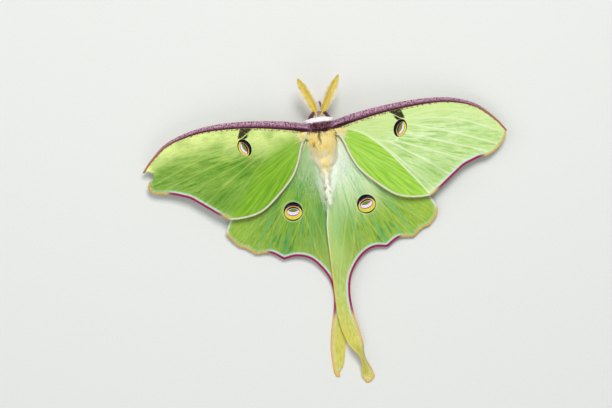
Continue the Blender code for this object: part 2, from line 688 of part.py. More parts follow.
def head(model, cutters, rng):
    """The small, tucked head, with hair down its face and a pair of palps below it."""
    made = ellipsoid("head", HEAD_CENTRE, HEAD_RADII, model, "coat", 14, 10)
    pieces = new_collection("head_locks", False)
    for lift, count, spread in FACE_ROWS:
        for k in range(count):
            aside, up = math.radians(spread * (2 * k / (count - 1) - 1)), math.radians(lift)
            towards = Vector((math.sin(aside) * math.cos(up), math.cos(aside) * math.cos(up), math.sin(up)))
            coat_lock(pieces, HEAD_CENTRE, HEAD_RADII, towards, Vector((0, 0.2, -1)),
                      FACE_LOCK[0] * rng.uniform(0.9, 1.1), FACE_LOCK[1], 0.15)
    for side in SIDES:
        tube(f"palp_{side}", [(SIDES[side] * x, y, z) for x, y, z in PALP], PALP_RADII, pieces)
    join(made, pieces, cutters)


def eye(side, model, cutters):
    centre = Vector((SIDES[side] * EYE_CENTRE.x, EYE_CENTRE.y, EYE_CENTRE.z))
    made = ellipsoid(f"eye_{side}", centre, Vector((EYE_RADIUS,) * 3), model, "eye", 12, 8)
    made.data.shade_smooth()
    ellipsoid(f"room_eye_{side}", centre, Vector((EYE_RADIUS + GAP,) * 3), cutters)


def abdomen_ring(share):
    """Centre and radius of the abdomen at a share of its length, swelling a little in each segment."""
    radius = ABDOMEN_RADIUS * (1 - 0.7 * share ** 1.6) * (0.8 + 0.2 * fade(share, 0, 0.2))
    radius *= 1 + 0.03 * math.sin(2 * math.pi * ABDOMEN_SEGMENTS * share)
    height = ABDOMEN_HEIGHTS[0] + (ABDOMEN_HEIGHTS[1] - ABDOMEN_HEIGHTS[0]) * share
    return Vector((0, ABDOMEN_START - ABDOMEN_LENGTH * share, height)), radius


def abdomen(model, cutters, rng):
    """The abdomen's core with rows of hair along its back and a tuft at its end."""
    rings = []
    steps = 2 * ABDOMEN_SEGMENTS + 1
    for k in range(steps):
        centre, radius = abdomen_ring(k / (steps - 1))
        turns = [2 * math.pi * j / ABDOMEN_SIDES for j in range(ABDOMEN_SIDES)]
        rings.append([centre + Vector((math.cos(t), 0, math.sin(t))) * radius for t in turns])
    made = skin("abdomen", rings, model, "coat")
    pieces = new_collection("abdomen_locks", False)
    rows, count, first, step, turn_step = BACK_LOCKS
    for row in range(rows):
        centre, radius = abdomen_ring(first + step * row)
        for k in range(count):
            turn = turn_step * (k - (count - 1) / 2 + (row % 2 - 0.5) / 3)
            abdomen_lock(pieces, centre, radius, turn, BACK_LOCK, rng)
    centre, radius = abdomen_ring(0.97)
    for k in range(END_LOCKS):
        abdomen_lock(pieces, centre, radius * 0.7, 360 / END_LOCKS * k, END_LOCK, rng)
    join(made, pieces, cutters)


def abdomen_lock(pieces, centre, radius, turn, sizes, rng):
    up = Vector((math.sin(math.radians(turn)), 0, math.cos(math.radians(turn))))
    lock(f"lock_{len(pieces.objects)}", centre + up * radius, Vector((0, -1, -0.12)), up,
         sizes["length"] * rng.uniform(0.9, 1.1), sizes["width"], pieces, sizes["curl"], sizes["sink"])


def build():
    for old in list(bpy.data.objects):
        bpy.data.objects.remove(old)
    rng = random.Random(SEED)
    model = new_collection("luna_moth")
    thorax_room = new_collection("thorax_room", False)
    head_room = new_collection("head_room", False)
    abdomen_room = new_collection("abdomen_room", False)
    floors = new_collection("floor_cutter", False)

    bm = bmesh.new()
    bmesh.ops.create_cube(bm, size=FLOOR_SIZE)
    for v in bm.verts:
        v.co = v.co + place((0, 0, 0)) - Vector((0, 0, FLOOR_SIZE / 2))
    floor = object_from("floor", bm, floors)
    floor.hide_render = True
    floor.display_type = "WIRE"

    for side in SIDES:
        for kind, outline, lines, point_of in (
                ("forewing", forewing_outline(side), forewing_lines(side), forewing_point),
                ("hindwing", hindwing_outline(side), hindwing_lines(side), hindwing_point)):
            lay = functools.partial(point_of, side)
            wing(kind, side, outline, lines, lay, model)
            for room in (thorax_room, abdomen_room):
                wing_room(kind, side, outline, lay, room)
        for name in LEGS:
            leg(name, side, model, thorax_room, floor)
        antenna(side, model, head_room)
        eye(side, model, head_room)
    wide = THORAX_RADII + Vector((GAP,) * 3)
    ellipsoid("room_thorax_head", THORAX_CENTRE, wide, head_room)
    ellipsoid("room_thorax_abdomen", THORAX_CENTRE, wide, abdomen_room)
    thorax(model, thorax_room, abdomen_room, head_room, rng)
    head(model, head_room, rng)
    abdomen(model, abdomen_room, rng)
    for room in (thorax_room, head_room, abdomen_room):
        for cutter in room.objects:
            cutter.hide_render = True
            cutter.display_type = "WIRE"


build()
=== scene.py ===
"""The luna moth's looks: scaled wings, furry body, feathered antennae and jointed legs.

Lengths are in millimetres in the moth's own frame: x to its right, y towards its head, z up
from the floor, with y = 0 between the forewing roots. place() turns them into metres about
the model's origin, as the solids have it. Left wings and legs are worked out as right ones
and mirrored.
"""

import json
import math

import bmesh
import bpy
import numpy as np
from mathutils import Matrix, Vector
from mathutils.geometry import delaunay_2d_cdt

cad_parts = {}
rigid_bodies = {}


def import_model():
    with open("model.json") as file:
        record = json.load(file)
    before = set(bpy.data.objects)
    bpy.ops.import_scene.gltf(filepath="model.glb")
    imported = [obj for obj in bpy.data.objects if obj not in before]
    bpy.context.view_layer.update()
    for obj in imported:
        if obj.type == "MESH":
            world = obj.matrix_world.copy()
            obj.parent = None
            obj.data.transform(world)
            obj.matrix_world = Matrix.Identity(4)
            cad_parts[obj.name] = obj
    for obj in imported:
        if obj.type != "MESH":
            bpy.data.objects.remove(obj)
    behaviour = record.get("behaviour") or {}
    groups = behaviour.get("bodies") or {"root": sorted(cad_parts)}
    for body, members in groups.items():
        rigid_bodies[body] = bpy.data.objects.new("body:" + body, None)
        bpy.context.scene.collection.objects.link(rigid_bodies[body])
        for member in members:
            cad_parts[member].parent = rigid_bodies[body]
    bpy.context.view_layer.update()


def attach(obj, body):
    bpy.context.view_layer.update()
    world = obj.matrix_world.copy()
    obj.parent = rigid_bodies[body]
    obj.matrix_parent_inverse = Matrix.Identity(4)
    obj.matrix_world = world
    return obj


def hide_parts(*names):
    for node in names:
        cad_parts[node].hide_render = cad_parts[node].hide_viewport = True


MM = 0.001
SIDES = {"left": -1, "right": 1}
ORIGIN_BEHIND_ROOTS = 30.6
SEED = 11
UP = (0, 0, 1.0)
FULL_TURN = 2 * np.pi

# The outlines of the wings, laid flat
ROOT_X = 2.7
FOREWING_COSTA = {
    "left": [(ROOT_X, 0.5), (10, 2.2), (20, 3.5), (29.5, 3.75), (37, 2.8), (44.5, 0.2), (49.5, -4),
             (52.4, -7.4)],
    "right": [(ROOT_X, 0.5), (10, 2.2), (20, 3.55), (30, 4.05), (38, 3.35), (45, 0.8), (50, -3.6),
              (53.1, -7.6)],
}
BITE = {"left": [(52.4, -7.4), (50.4, -7.2), (48.9, -8.3), (49.4, -9.7), (50.9, -10.3)], "right": []}
LOWER_MARGIN = [(47.2, -14.2), (44.5, -14.6), (42, -15.4), (39.5, -16.4), (37, -18.2), (34.6, -20),
                (32.2, -21.8), (29, -23.8)]
FOREWING_MARGIN = {"left": [(50.9, -10.3), (51.3, -11.8), (50.2, -13.4)] + LOWER_MARGIN,
                   "right": [(53.1, -7.6), (52.2, -9.9), (50.3, -12.2)] + LOWER_MARGIN}
FOREWING_INNER = [(29, -23.8), (25.5, -23.9), (21, -23.2), (17.3, -21.3), (12.5, -17.1), (9.3, -13.6),
                  (7.2, -9.6), (6, -6), (4.6, -3.4), (ROOT_X, -2.4)]
FOREWING_VEINS = [
    [(3.2, -0.9), (12, 0.5), (22.2, -0.9)],
    [(22.2, -0.9), (34, 0.4), (46, -2)],
    [(22.2, -0.9), (38, -2.6), (51, -7.6)],
    [(22.4, -2), (36, -6), (49.8, -11.2)],
    [(22.6, -4.6), (34, -8.6), (46.6, -13)],
    [(20.6, -6.9), (31, -11), (40.4, -14.9)],
    [(19.2, -7.2), (28, -13), (35.4, -18.6)],
    [(15.2, -6.1), (23, -14), (30.4, -22.2)],
    [(3.4, -1.6), (9.5, -4), (15.2, -6.1), (20.6, -6.9), (22.4, -3.9), (22.2, -0.9)],
    [(3.6, -1.9), (8.6, -7.6), (16, -16), (23.6, -22.6)],
]
HINDWING_LEADING = [(ROOT_X, -1.9), (6, -2), (9.5, -2.8), (13, -4.8), (18, -9.5), (23, -15.7),
                    (27.2, -21.2), (29.7, -25.2), (30.8, -27.6)]
# Three scallops on each side, each from a point over a hollow to the next point
SCALLOPS = {
    "left": [(30.8, -27.6), (29.7, -29.3), (27.6, -31.7), (25.5, -32.6), (22.8, -34.6), (18.7, -34.7),
             (15, -37)],
    "right": [(30.8, -27.6), (30.2, -29.7), (27.9, -32.3), (25.6, -33), (22.9, -35.1), (18.7, -34.8),
              (15, -37)],
}
TAIL_NOTCH = {"left": [(15, -37), (11.3, -36.5), (7.5, -37.7), (4.6, -40.8)],
              "right": [(15, -37), (11.3, -36.6), (8, -38.1), (5.3, -41)]}
# Stations down each tail: distance behind the roots, centre and half width
TAILS = {
    "left": [(-44.5, 0.2, 2.4), (-49, -0.15, 2.15), (-54, 0.5, 2.25), (-59, 1.65, 2.35), (-63.5, 2.5, 2.2),
             (-67, 2.95, 1.9), (-69.5, 3.3, 1.5), (-71.3, 3.85, 0.8)],
    "right": [(-44.5, 0.85, 2.65), (-49, 0.5, 2.3), (-54, 0.65, 2.4), (-59, 1.5, 2.5), (-63.5, 2.65, 2.2),
              (-67, 3.95, 1.9), (-70.5, 4.7, 1.6), (-73.6, 5.05, 1.9)],
}
TAIL_ENDS = {"left": [(4.1, -72.4), (3.2, -72.6)], "right": [(5.9, -74.8), (4.4, -75.2)]}
HIND_ROOT = [(3.2, -9.8), (3.5, -7.6), (3.1, -6.2), (ROOT_X, -5.4)]
INNER_MARGINS = {
    "left": [(-1.9, -38), (-0.9, -31), (0.4, -26), (1.1, -22), (1.75, -17.5), (2.5, -13.5)] + HIND_ROOT,
    "right": [(-1.8, -38), (-1.75, -30), (-1.2, -25.5), (-0.2, -21), (0.9, -17.5), (2.2, -13.5)] + HIND_ROOT,
}
HINDWING_VEINS = [
    [(3.4, -2.9), (12, -7), (22, -17.6), (29, -25.6)],
    [(8.6, -11.6), (19, -19.6), (29.6, -28.4)],
    [(3.4, -3.4), (8.6, -11.6), (13.2, -22.6)],
    [(13, -21.2), (20, -25.6), (27.2, -31.4)],
    [(13.2, -22.6), (17.6, -28), (22.3, -34.2)],
    [(8.6, -25.4), (11.6, -31), (14.7, -36)],
    [(13.2, -22.6), (11, -24.6), (7.6, -24.8)],
    [(3.4, -4.2), (5.6, -14), (7.6, -24.8)],
]
# Veins that run on down the tail, with their place across it
TAIL_VEINS = [([(7.6, -24.8), (5, -36.5)], 0.5), ([(6.4, -18.6), (2.6, -34)], -0.25)]

# Heights of the wings, as the solids have them
FOREWING_ROOT_HEIGHT = 8.2
FOREWING_FALL = 0.045
FOREWING_CURVE = 0.0008
FOREWING_REAR_FALL = 0.058
HINDWING_SAG = [(0, 6.4), (-8, 6.35), (-16, 5.95), (-20, 5.4), (-26, 4.4), (-34, 3.1), (-42, 2),
                (-50, 1.05), (-57, 0.55), (-80, 0.55)]
SAG_EASE = 3
WING_LAP = {"left": -0.3, "right": 0.9}
LAP_EDGE = (3.5, 10)
LAP_STARTS = (-14, -21)
LAP_ENDS = (-63, -68.5)
HINDWING_DROOP = 0.088
DROOP_FADES = (-38, -47)
TWIST_CENTRE = -67.6
TWIST_HALF_LENGTH = 6
TWIST_ANGLE = math.radians(66)
TAIL_REST = 0.25

# The membranes: thickness, veins, ripples, and the spacing of the points that draw them
MEMBRANE = 0.15
RIM = 0.05
VEIN_RISE = 0.1
VEIN_WIDTH = 0.3
RIPPLE = 0.1
RIPPLE_REACH = 1.3
OUTLINE_STEP = 0.34
NEAREST = 0.4 * OUTLINE_STEP
VEIN_STEP = 0.42
VEIN_CLEAR = 0.2
FLANK_CLEAR = 0.25
FILL_STEP = 0.52
FILL_ROW = 0.866 * FILL_STEP
FILL_JITTER = 0.08
# Width of the purple costal band along the forewing and height of the rod in it, then the depths of
# the rows of points in it and the share of its width at which the rod is highest
COSTAL_BAND = [(0, 2.6), (10, 2.4), (20, 2.05), (28, 1.8), (40, 1.2), (48, 0.7), (54, 0.4)]
COSTAL_ROD = [(0, 1.3), (10, 1.1), (30, 0.8), (45, 0.45), (54, 0.16)]
COSTAL_ROWS = (0.05, 0.16, 0.34, 0.6)
ROD_SHARE = 0.42
# Where the streaks of each wing fan out from
FAN_ROOTS = {"forewing": (ROOT_X - 1.5, -0.8), "hindwing": (ROOT_X - 1.5, -1.5)}
# Middle and lean in degrees of each eyespot
EYESPOTS = {"forewing": {"left": (22.3, -3.8, -24), "right": (22.6, -3.6, -26)},
            "hindwing": {"left": (10.7, -23.5, 4), "right": (10.4, -23.9, 14)}}
# Body, ring, line, lens and slit of each eyespot: middle across and along it, half sizes and roundness
OVALS = {
    "forewing": [(-0.08, 0, 1.85, 2.65, 1.8), (0.32, -0.2, 1.3, 2.25, 1.4), (0.1, -0.1, 1, 1.9, 1.4),
                 (0.3, -0.12, 0.66, 1.75, 1), (-0.02, 0.05, 0.42, 1.45, 1)],
    "hindwing": [(0, 0, 2.75, 2.75, 2), (0, -0.4, 2.5, 1.95, 2), (0, 0, 1.95, 1.34, 2),
                 (0, -0.1, 1.74, 0.96, 2), (0, 0.28, 1.45, 0.5, 1)],
}


def place(points):
    """Millimetres in the moth's frame to metres in the model's."""
    return (np.array(points, float) + (0, ORIGIN_BEHIND_ROOTS, 0)) * MM


def columns(*values):
    """Numbers and arrays side by side, along the last axis of one array."""
    return np.stack(np.broadcast_arrays(*values), axis=-1)


def fade(value, start, end):
    t = np.clip((value - start) / (end - start), 0, 1)
    return t * t * (3 - 2 * t)


def level(stations, y):
    """The value at y on the line through (y, value) stations that run backwards."""
    table = np.array([(s[0], s[1]) for s in stations], float)
    return np.interp(-np.asarray(y), -table[:, 0], table[:, 1])


def along(points, step=OUTLINE_STEP):
    """Points about a step apart on the smooth curve through the given ones."""
    ends = np.array(points, float)
    ends = np.vstack([2 * ends[0] - ends[1], ends, 2 * ends[-1] - ends[-2]])
    found = []
    for a, b, c, d in zip(ends, ends[1:], ends[2:], ends[3:]):
        count = max(1, round(float(np.linalg.norm(c - b)) / step))
        for k in range(count):
            t = k / count
            found.append(0.5 * (2 * b + (c - a) * t + (2 * a - 5 * b + 4 * c - d) * t * t
                                + (3 * b - a - 3 * c + d) * t ** 3))
    return np.array(found + [ends[-2]])


def unit(vectors):
    return vectors / np.maximum(np.linalg.norm(vectors, axis=-1, keepdims=True), 1e-12)


def to_line(points, line):
    """Distance of each point to a polyline."""
    best = np.full(len(points), np.inf)
    for a, b in zip(line, line[1:]):
        course = b - a
        t = np.clip((points - a) @ course / max(course @ course, 1e-12), 0, 1)
        best = np.minimum(best, np.linalg.norm(points - a - t[:, None] * course, axis=1))
    return best


def to_edge(points, loop):
    """Distance of each point to a closed loop."""
    return to_line(points, np.vstack([loop, loop[:1]]))


def inside(points, loop):
    x, y = points.T
    crossed = np.zeros(len(points), bool)
    for a, b in zip(loop, np.roll(loop, -1, axis=0)):
        if a[1] != b[1]:
            spans = (a[1] > y) != (b[1] > y)
            crossed ^= spans & (x < a[0] + (y - a[1]) * (b[0] - a[0]) / (b[1] - a[1]))
    return crossed


def beside(line, distance):
    """The line moved to its left by a distance."""
    course = unit(np.gradient(line, axis=0))
    return line + columns(-course[:, 1], course[:, 0]) * distance


class Tone:
    """A socket in a material. Arithmetic on it adds Math nodes, and node() adds any other node."""

    def __init__(self, tree, socket):
        self.tree = tree
        self.socket = socket

    def node(self, kind, inputs, output=0, **settings):
        made = self.tree.nodes.new("ShaderNode" + kind)
        for name, value in settings.items():
            setattr(made, name, value)
        for name, value in inputs.items():
            if isinstance(value, Tone):
                self.tree.links.new(value.socket, made.inputs[name])
            else:
                made.inputs[name].default_value = value
        return Tone(self.tree, made.outputs[output])

    def math(self, operation, *operands):
        return self.node("Math", dict(enumerate(operands)), operation=operation)

    def __add__(self, other):
        return self.math("ADD", self, other)

    __radd__ = __add__

    def __sub__(self, other):
        return self.math("SUBTRACT", self, other)

    def __rsub__(self, other):
        return self.math("SUBTRACT", other, self)

    def __mul__(self, other):
        return self.math("MULTIPLY", self, other)

    __rmul__ = __mul__

    def __truediv__(self, other):
        return self.math("DIVIDE", self, other)

    def __pow__(self, other):
        return self.math("POWER", self, other)

    def __abs__(self):
        return self.math("ABSOLUTE", self)

    def smooth(self, start, end):
        """0 at start and 1 at end, either way round."""
        return self.node("MapRange", {"Value": self, "From Min": start, "From Max": end},
                         interpolation_type="SMOOTHSTEP")

    def mix(self, low, high):
        """The colour low where this is 0 and high where it is 1; a plain colour is 0 to 255."""
        low, high = (end if isinstance(end, Tone) else paint(*end) for end in (low, high))
        return self.node("Mix", {0: self, 6: low, 7: high}, output=2, data_type="RGBA")

    def under(self, *layers):
        """This colour with others over it, each given as the share that it covers and the colour."""
        base = self
        for share, colour in layers:
            base = share.mix(base, colour)
        return base

    def scaled(self, factor):
        return self.node("VectorMath", {0: self, "Scale": factor}, operation="SCALE")

    def split(self):
        return [self.node("SeparateXYZ", {"Vector": self}, output=k) for k in range(3)]

    def joined(self, y):
        """The vector with this as its x."""
        return self.node("CombineXYZ", {"X": self, "Y": y})

    def noise(self, scale, detail=3, roughness=0.5):
        return self.node("TexNoise", {"Vector": self, "Scale": scale, "Detail": detail,
                                      "Roughness": roughness})


class Finish:
    """A material with a Principled shader, and ways to read a mesh's values in it."""

    def __init__(self, name, roughness, specular, sheen=0):
        self.material = bpy.data.materials.new(name)
        self.material.use_nodes = True
        self.tree = self.material.node_tree
        self.shader = self.tree.nodes["Principled BSDF"]
        constants = {"Roughness": roughness, "Specular IOR Level": specular, "Sheen Weight": sheen,
                     "Sheen Roughness": 0.4}
        for socket, value in constants.items():
            self.shader.inputs[socket].default_value = value
        self.start = Tone(self.tree, None)

    def read(self, name):
        """The vector that the mesh keeps under a name."""
        return self.start.node("Attribute", {}, output=1, attribute_name=name)

    def places(self):
        """Where on its object a point is."""
        return self.start.node("TexCoord", {}, output=3)

    def colour(self, tone):
        self.tree.links.new(tone.socket, self.shader.inputs["Base Color"])

    def bump(self, height, distance):
        normal = self.start.node("Bump", {"Height": height, "Distance": distance, "Strength": 1})
        self.tree.links.new(normal.socket, self.shader.inputs["Normal"])


def paint(red, green, blue):
    """A colour of the photo's kind, 0 to 255, as the shader takes it."""
    share = np.array([red, green, blue]) / 255
    linear = np.where(share <= 0.04045, share / 12.92, ((share + 0.055) / 1.055) ** 2.4)
    return (*linear.tolist(), 1)


def mesh_object(name, verts, faces, finish, smooth=True, **values):
    """An object from arrays: vertices in millimetres, faces of one size, and values for the finish."""
    faces = np.asarray(faces, np.int32)
    mesh = bpy.data.meshes.new(name)
    mesh.vertices.add(len(verts))
    mesh.vertices.foreach_set("co", place(verts).astype(np.float32).ravel())
    mesh.loops.add(faces.size)
    mesh.loops.foreach_set("vertex_index", faces.ravel())
    mesh.polygons.add(len(faces))
    mesh.polygons.foreach_set("loop_start", np.arange(0, faces.size, faces.shape[1], dtype=np.int32))
    mesh.polygons.foreach_set("use_smooth", np.full(len(faces), smooth))
    mesh.update(calc_edges=True)
    for key, table in values.items():
        kept = mesh.attributes.new(key, "FLOAT_VECTOR", "POINT")
        kept.data.foreach_set("vector", np.asarray(table, np.float32).ravel())
    mesh.materials.append(finish.material)
    made = bpy.data.objects.new(name, mesh)
    bpy.context.scene.collection.objects.link(made)
    return made


def settle(piece, slot, *nodes):
    """Rides the piece on the body and hides the nodes that it stands for; the slot is not used."""
    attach(piece, "root")
    if nodes:
        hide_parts(*nodes)


# Wings


def forewing_lay(side, x, y):
    """The flat wing's points laid in place."""
    fall = FOREWING_FALL * x + FOREWING_CURVE * x * x + FOREWING_REAR_FALL * np.maximum(0, 1 - y)
    return columns(x, y, FOREWING_ROOT_HEIGHT - fall)


def hindwing_lay(side, x, y):
    """The flat wing's points laid in place, with the right tail's twist."""
    lap = WING_LAP[side] * (1 - fade(x, *LAP_EDGE)) * fade(y, *LAP_STARTS)
    droop = HINDWING_DROOP * np.maximum(0, x - 3) * (1 - fade(y, *DROOP_FADES))
    ahead, here, behind = (level(HINDWING_SAG, y + shift) for shift in (SAG_EASE, 0, -SAG_EASE))
    z = (ahead + 2 * here + behind) / 4 + lap - droop
    if side == "left":
        return columns(x, y, z)
    roll = TWIST_ANGLE * np.maximum(0, 1 - ((y - TWIST_CENTRE) / TWIST_HALF_LENGTH) ** 2) ** 2
    centre = level(TAILS[side], y)
    half = level([(s[0], s[2]) for s in TAILS[side]], y)
    lowered = TAIL_REST + (z - TAIL_REST) * (1 - fade(y, *LAP_ENDS)) + (half - (x - centre)) * np.sin(roll)
    near_end = y <= LAP_ENDS[0] + 3
    turned = centre + (x - centre) * np.cos(roll)
    return columns(np.where(near_end, turned, x), y, np.where(near_end, lowered, z))


def forewing_margins(side):
    """Front edge, outer edge with the bite, and inner edge."""
    bite = [np.linspace(a, b, 6) for a, b in zip(BITE[side], BITE[side][1:])]
    outer = np.vstack(bite + [along(FOREWING_MARGIN[side])])
    return along(FOREWING_COSTA[side]), outer, along(FOREWING_INNER)


def hindwing_margins(side):
    """Front edge, outer edge down to the tail's end, and inner edge back from it."""
    rounds = [along(SCALLOPS[side][k:k + 3]) for k in (0, 2, 4)]
    tail = [(centre + half, y) for y, centre, half in TAILS[side]]
    back = [(centre - half, y) for y, centre, half in reversed(TAILS[side])]
    ends = [tail[-1], *TAIL_ENDS[side], back[0]]
    outer = np.vstack([*rounds, along(TAIL_NOTCH[side] + tail), along(ends)])
    return along(HINDWING_LEADING), outer, along(back + INNER_MARGINS[side])


def closed(margins):
    """One loop from the margins, with no point twice."""
    loop = np.vstack(margins)
    keep = [0]
    for k in range(1, len(loop)):
        if np.linalg.norm(loop[k] - loop[keep[-1]]) > NEAREST:
            keep.append(k)
    if np.linalg.norm(loop[keep[-1]] - loop[0]) < NEAREST:
        keep.pop()
    return loop[keep]


def forewing_courses(side):
    return [along(vein, VEIN_STEP) for vein in FOREWING_VEINS]


def hindwing_courses(side):
    tails = [start + [(c + share * h, y) for y, c, h in TAILS[side][:5]] for start, share in TAIL_VEINS]
    return [along(vein, VEIN_STEP) for vein in HINDWING_VEINS + tails]


WINGS = {"forewing": (forewing_margins, forewing_courses, forewing_lay),
         "hindwing": (hindwing_margins, hindwing_courses, hindwing_lay)}


def net(loop, courses, rows, rng):
    """Triangles over the wing, with points along each vein and both its flanks, and in rows by its edge."""
    points = [loop]
    far_off = [(1e6, 1e6)]

    def add(line, clear, rim):
        line = line[inside(line, loop)]
        held = np.vstack([far_off, *points[1:]])
        kept = np.zeros((0, 2))
        for p in line[to_edge(line, loop) > rim]:
            if np.min(np.sum((np.vstack([held, kept]) - p) ** 2, axis=1)) > clear * clear:
                kept = np.vstack([kept, p])
        points.append(kept)

    for line, rim in rows:
        add(line, 0.5 * rim, 0.8 * rim)
    flanks = [beside(course, hand * VEIN_WIDTH) for course in courses for hand in (-1, 1)]
    for line in courses + flanks:
        add(line, VEIN_CLEAR, VEIN_CLEAR)
    low, high = loop.min(0), loop.max(0)
    levels = np.arange(low[1], high[1], FILL_ROW)
    steps = np.arange(low[0], high[0], FILL_STEP)
    grid = np.array([(x + 0.5 * FILL_STEP * (k % 2), y) for k, y in enumerate(levels) for x in steps])
    grid = grid + rng.uniform(-FILL_JITTER, FILL_JITTER, grid.shape)
    grid = grid[inside(grid, loop)]
    clear = to_edge(grid, loop) > 0.5 * FILL_STEP
    for course in courses:
        clear &= to_line(grid, course) > VEIN_WIDTH + FLANK_CLEAR
    flat = [Vector(p) for p in np.vstack([*points, grid[clear]])]
    verts, _, faces, *_ = delaunay_2d_cdt(flat, [], [list(range(len(loop)))], 1, 1e-5)
    return np.array([(v.x, v.y) for v in verts]), np.array([f for f in faces if len(f) == 3])


def rim_edges(faces):
    """The edges that only one triangle has, as that triangle runs them."""
    edges = np.vstack([faces[:, [j, (j + 1) % 3]] for j in range(3)])
    _, first, counts = np.unique(np.sort(edges, axis=1), axis=0, return_index=True, return_counts=True)
    return edges[first[counts == 1]]


def normals_of(verts, faces):
    corners = verts[faces]
    flat = np.cross(corners[:, 1] - corners[:, 0], corners[:, 2] - corners[:, 0])
    total = np.zeros_like(verts)
    for k in range(3):
        np.add.at(total, faces[:, k], flat)
    return unit(total)


def sheet(middle, thick, faces):
    """Vertices and faces of a closed sheet that is so thick about its middle."""
    half = normals_of(middle, faces) * thick[:, None] / 2
    count = len(middle)
    a, b = rim_edges(faces).T
    walls = np.vstack([columns(b, a, a + count), columns(b, a + count, b + count)])
    return np.vstack([middle + half, middle - half]), np.vstack([faces, faces[:, ::-1] + count, walls])


def rod_profile(inward):
    """How much of the rod's height stands at a share of the costal band's width."""
    return np.sqrt(1 - (1 - np.clip(inward / ROD_SHARE, 0, 1)) ** 2) * np.sqrt(1 - fade(inward, 0.5, 1))


def wing(kind, side, finish, rng):
    """One thin closed wing with raised veins, and what its scales' colours are worked out from."""
    margins_of, courses_of, lay = WINGS[kind]
    margins, courses = margins_of(side), courses_of(side)
    front = kind == "forewing"
    rows = [(beside(margins[0], -depth), depth) for depth in COSTAL_ROWS] if front else []
    flat, faces = net(closed(margins), courses, rows, rng)
    x, y = flat.T
    to_costa, to_outer, to_inner = (to_line(flat, margin) for margin in margins)
    to_vein = np.min([to_line(flat, course) for course in courses], axis=0)
    rim = np.minimum(to_outer, to_inner)
    thick = MEMBRANE + VEIN_RISE * (1 - fade(to_vein, 0, VEIN_WIDTH)) * fade(to_outer, 0, 2)
    thick = RIM + (thick - RIM) * fade(rim, 0, 0.5)
    if front:
        # The coloured hem doesn't run round the bite
        to_outer = to_line(flat, along(FOREWING_MARGIN[side]))
        rod, band = (np.interp(x, *np.array(line).T) for line in (COSTAL_ROD, COSTAL_BAND))
        spread = to_costa / band
        thick = np.maximum(thick, rod * rod_profile(np.clip(spread, 0, 1)))
        maroon = fade(x, 29.5, 33) * (1 - fade(x, 43.5, 47.5))
        below = hindwing_margins(side)
        lap = to_line(flat, below[0]) * np.where(inside(flat, closed(below)), 1, -1)
    else:
        spread = to_costa
        notch = (1 - fade(x, 18, 20.5)) * fade(-y, 32.8, 34) * fade(x - level(TAILS[side], y), 0, 0.8)
        maroon = notch * (1 - fade(-y, 51, 58))
        lap = 0
    reach = flat - FAN_ROOTS[kind]
    angle, radius = np.arctan2(-reach[:, 1], reach[:, 0]), np.linalg.norm(reach, axis=1)
    spot_x, spot_y, tilt = EYESPOTS[kind][side]
    cosine, sine = math.cos(math.radians(tilt)), math.sin(math.radians(tilt))
    across, back = x - spot_x, y - spot_y

    middle = lay(side, x, y)
    middle[:, 2] -= RIPPLE * (1 - np.exp(-to_vein / RIPPLE_REACH)) * fade(rim, 0, 2) * fade(radius, 4, 10)
    middle[:, 0] *= SIDES[side]
    if side == "left":
        faces = faces[:, ::-1]

    def both(*values):
        """The values for the upper and the lower face."""
        return np.vstack([columns(*values)] * 2)

    made = mesh_object(f"{kind}_{side}_scaled", *sheet(middle, thick, faces), finish,
                       edges=both(spread, to_outer, to_inner), fan=both(angle, radius, to_vein),
                       spot=both(across * cosine + back * sine, back * cosine - across * sine, maroon),
                       lap=both(lap, x, y))
    settle(made, "wing", f"{kind}_{side}")


# Colours of each wing's scales, how far its effects reach and how strong they are. The right wings' paler
# colours and the left wings' darker, greener ones are painted light and shade, from how the light fell on
# each side.
WING_LOOKS = {
    "forewing_left": {
        "mid": (104, 152, 44), "light": (164, 198, 88), "streak": (98, 152, 44), "deep": (74, 128, 30),
        "vein": (184, 208, 104), "outer": (230, 244, 152), "backlit_lap": ((104, 160, 26), (150, 196, 54)),
        "lap_edge": 2.4, "backlit_seam": 0, "vein_share": 0.3},
    "forewing_right": {
        "mid": (190, 222, 140), "light": (220, 242, 184), "streak": (168, 206, 116), "deep": (146, 188, 88),
        "vein": (236, 246, 204), "outer": (208, 230, 150), "backlit_lap": ((132, 190, 34), (180, 226, 74)),
        "lap_edge": 0.2, "backlit_seam": 0.6, "vein_share": 0.6},
    "hindwing_left": {
        "mid": (100, 152, 46), "light": (148, 184, 72), "streak": (96, 152, 64), "deep": (68, 120, 28),
        "vein": (176, 198, 92), "root": (124, 180, 76), "teal": (96, 166, 104),
        "vein_share": 0.35, "root_and_sunlit_reach": (26, 10), "inner_share": 0.1},
    "hindwing_right": {
        "mid": (120, 166, 54), "light": (166, 196, 74), "streak": (114, 170, 76), "deep": (82, 136, 32),
        "vein": (190, 208, 104), "root": (226, 246, 206), "teal": (108, 182, 116),
        "vein_share": 0.45, "root_and_sunlit_reach": (31, 13), "inner_share": 0.5},
}


def streaked(look, fan, streak, fine, patch):
    """Ground colour with streaks and fine lines that run out from the root."""
    base = fan(5, 0.03, 2).smooth(0.35, 0.68).mix(look["mid"], look["light"]).under(
        (streak.smooth(0.5, 0.66) * 0.8, look["streak"]),
        (streak.smooth(0.47, 0.34) * 0.8, look["deep"]),
        (fine.smooth(0.52, 0.68) * 0.6, look["light"]),
        (fine.smooth(0.48, 0.32) * 0.55, look["deep"]),
        (patch.smooth(0.45, 0.7) * 0.28, look["deep"]))
    for often, pale, dark in ((210, 0.55, 0.35), (88, 0.4, 0.4)):
        lines = fan(often, 0.12, 2)
        base = base.under((lines.smooth(0.6, 0.7) * pale, look["vein"]),
                          (lines.smooth(0.4, 0.3) * dark, look["deep"]))
    return base


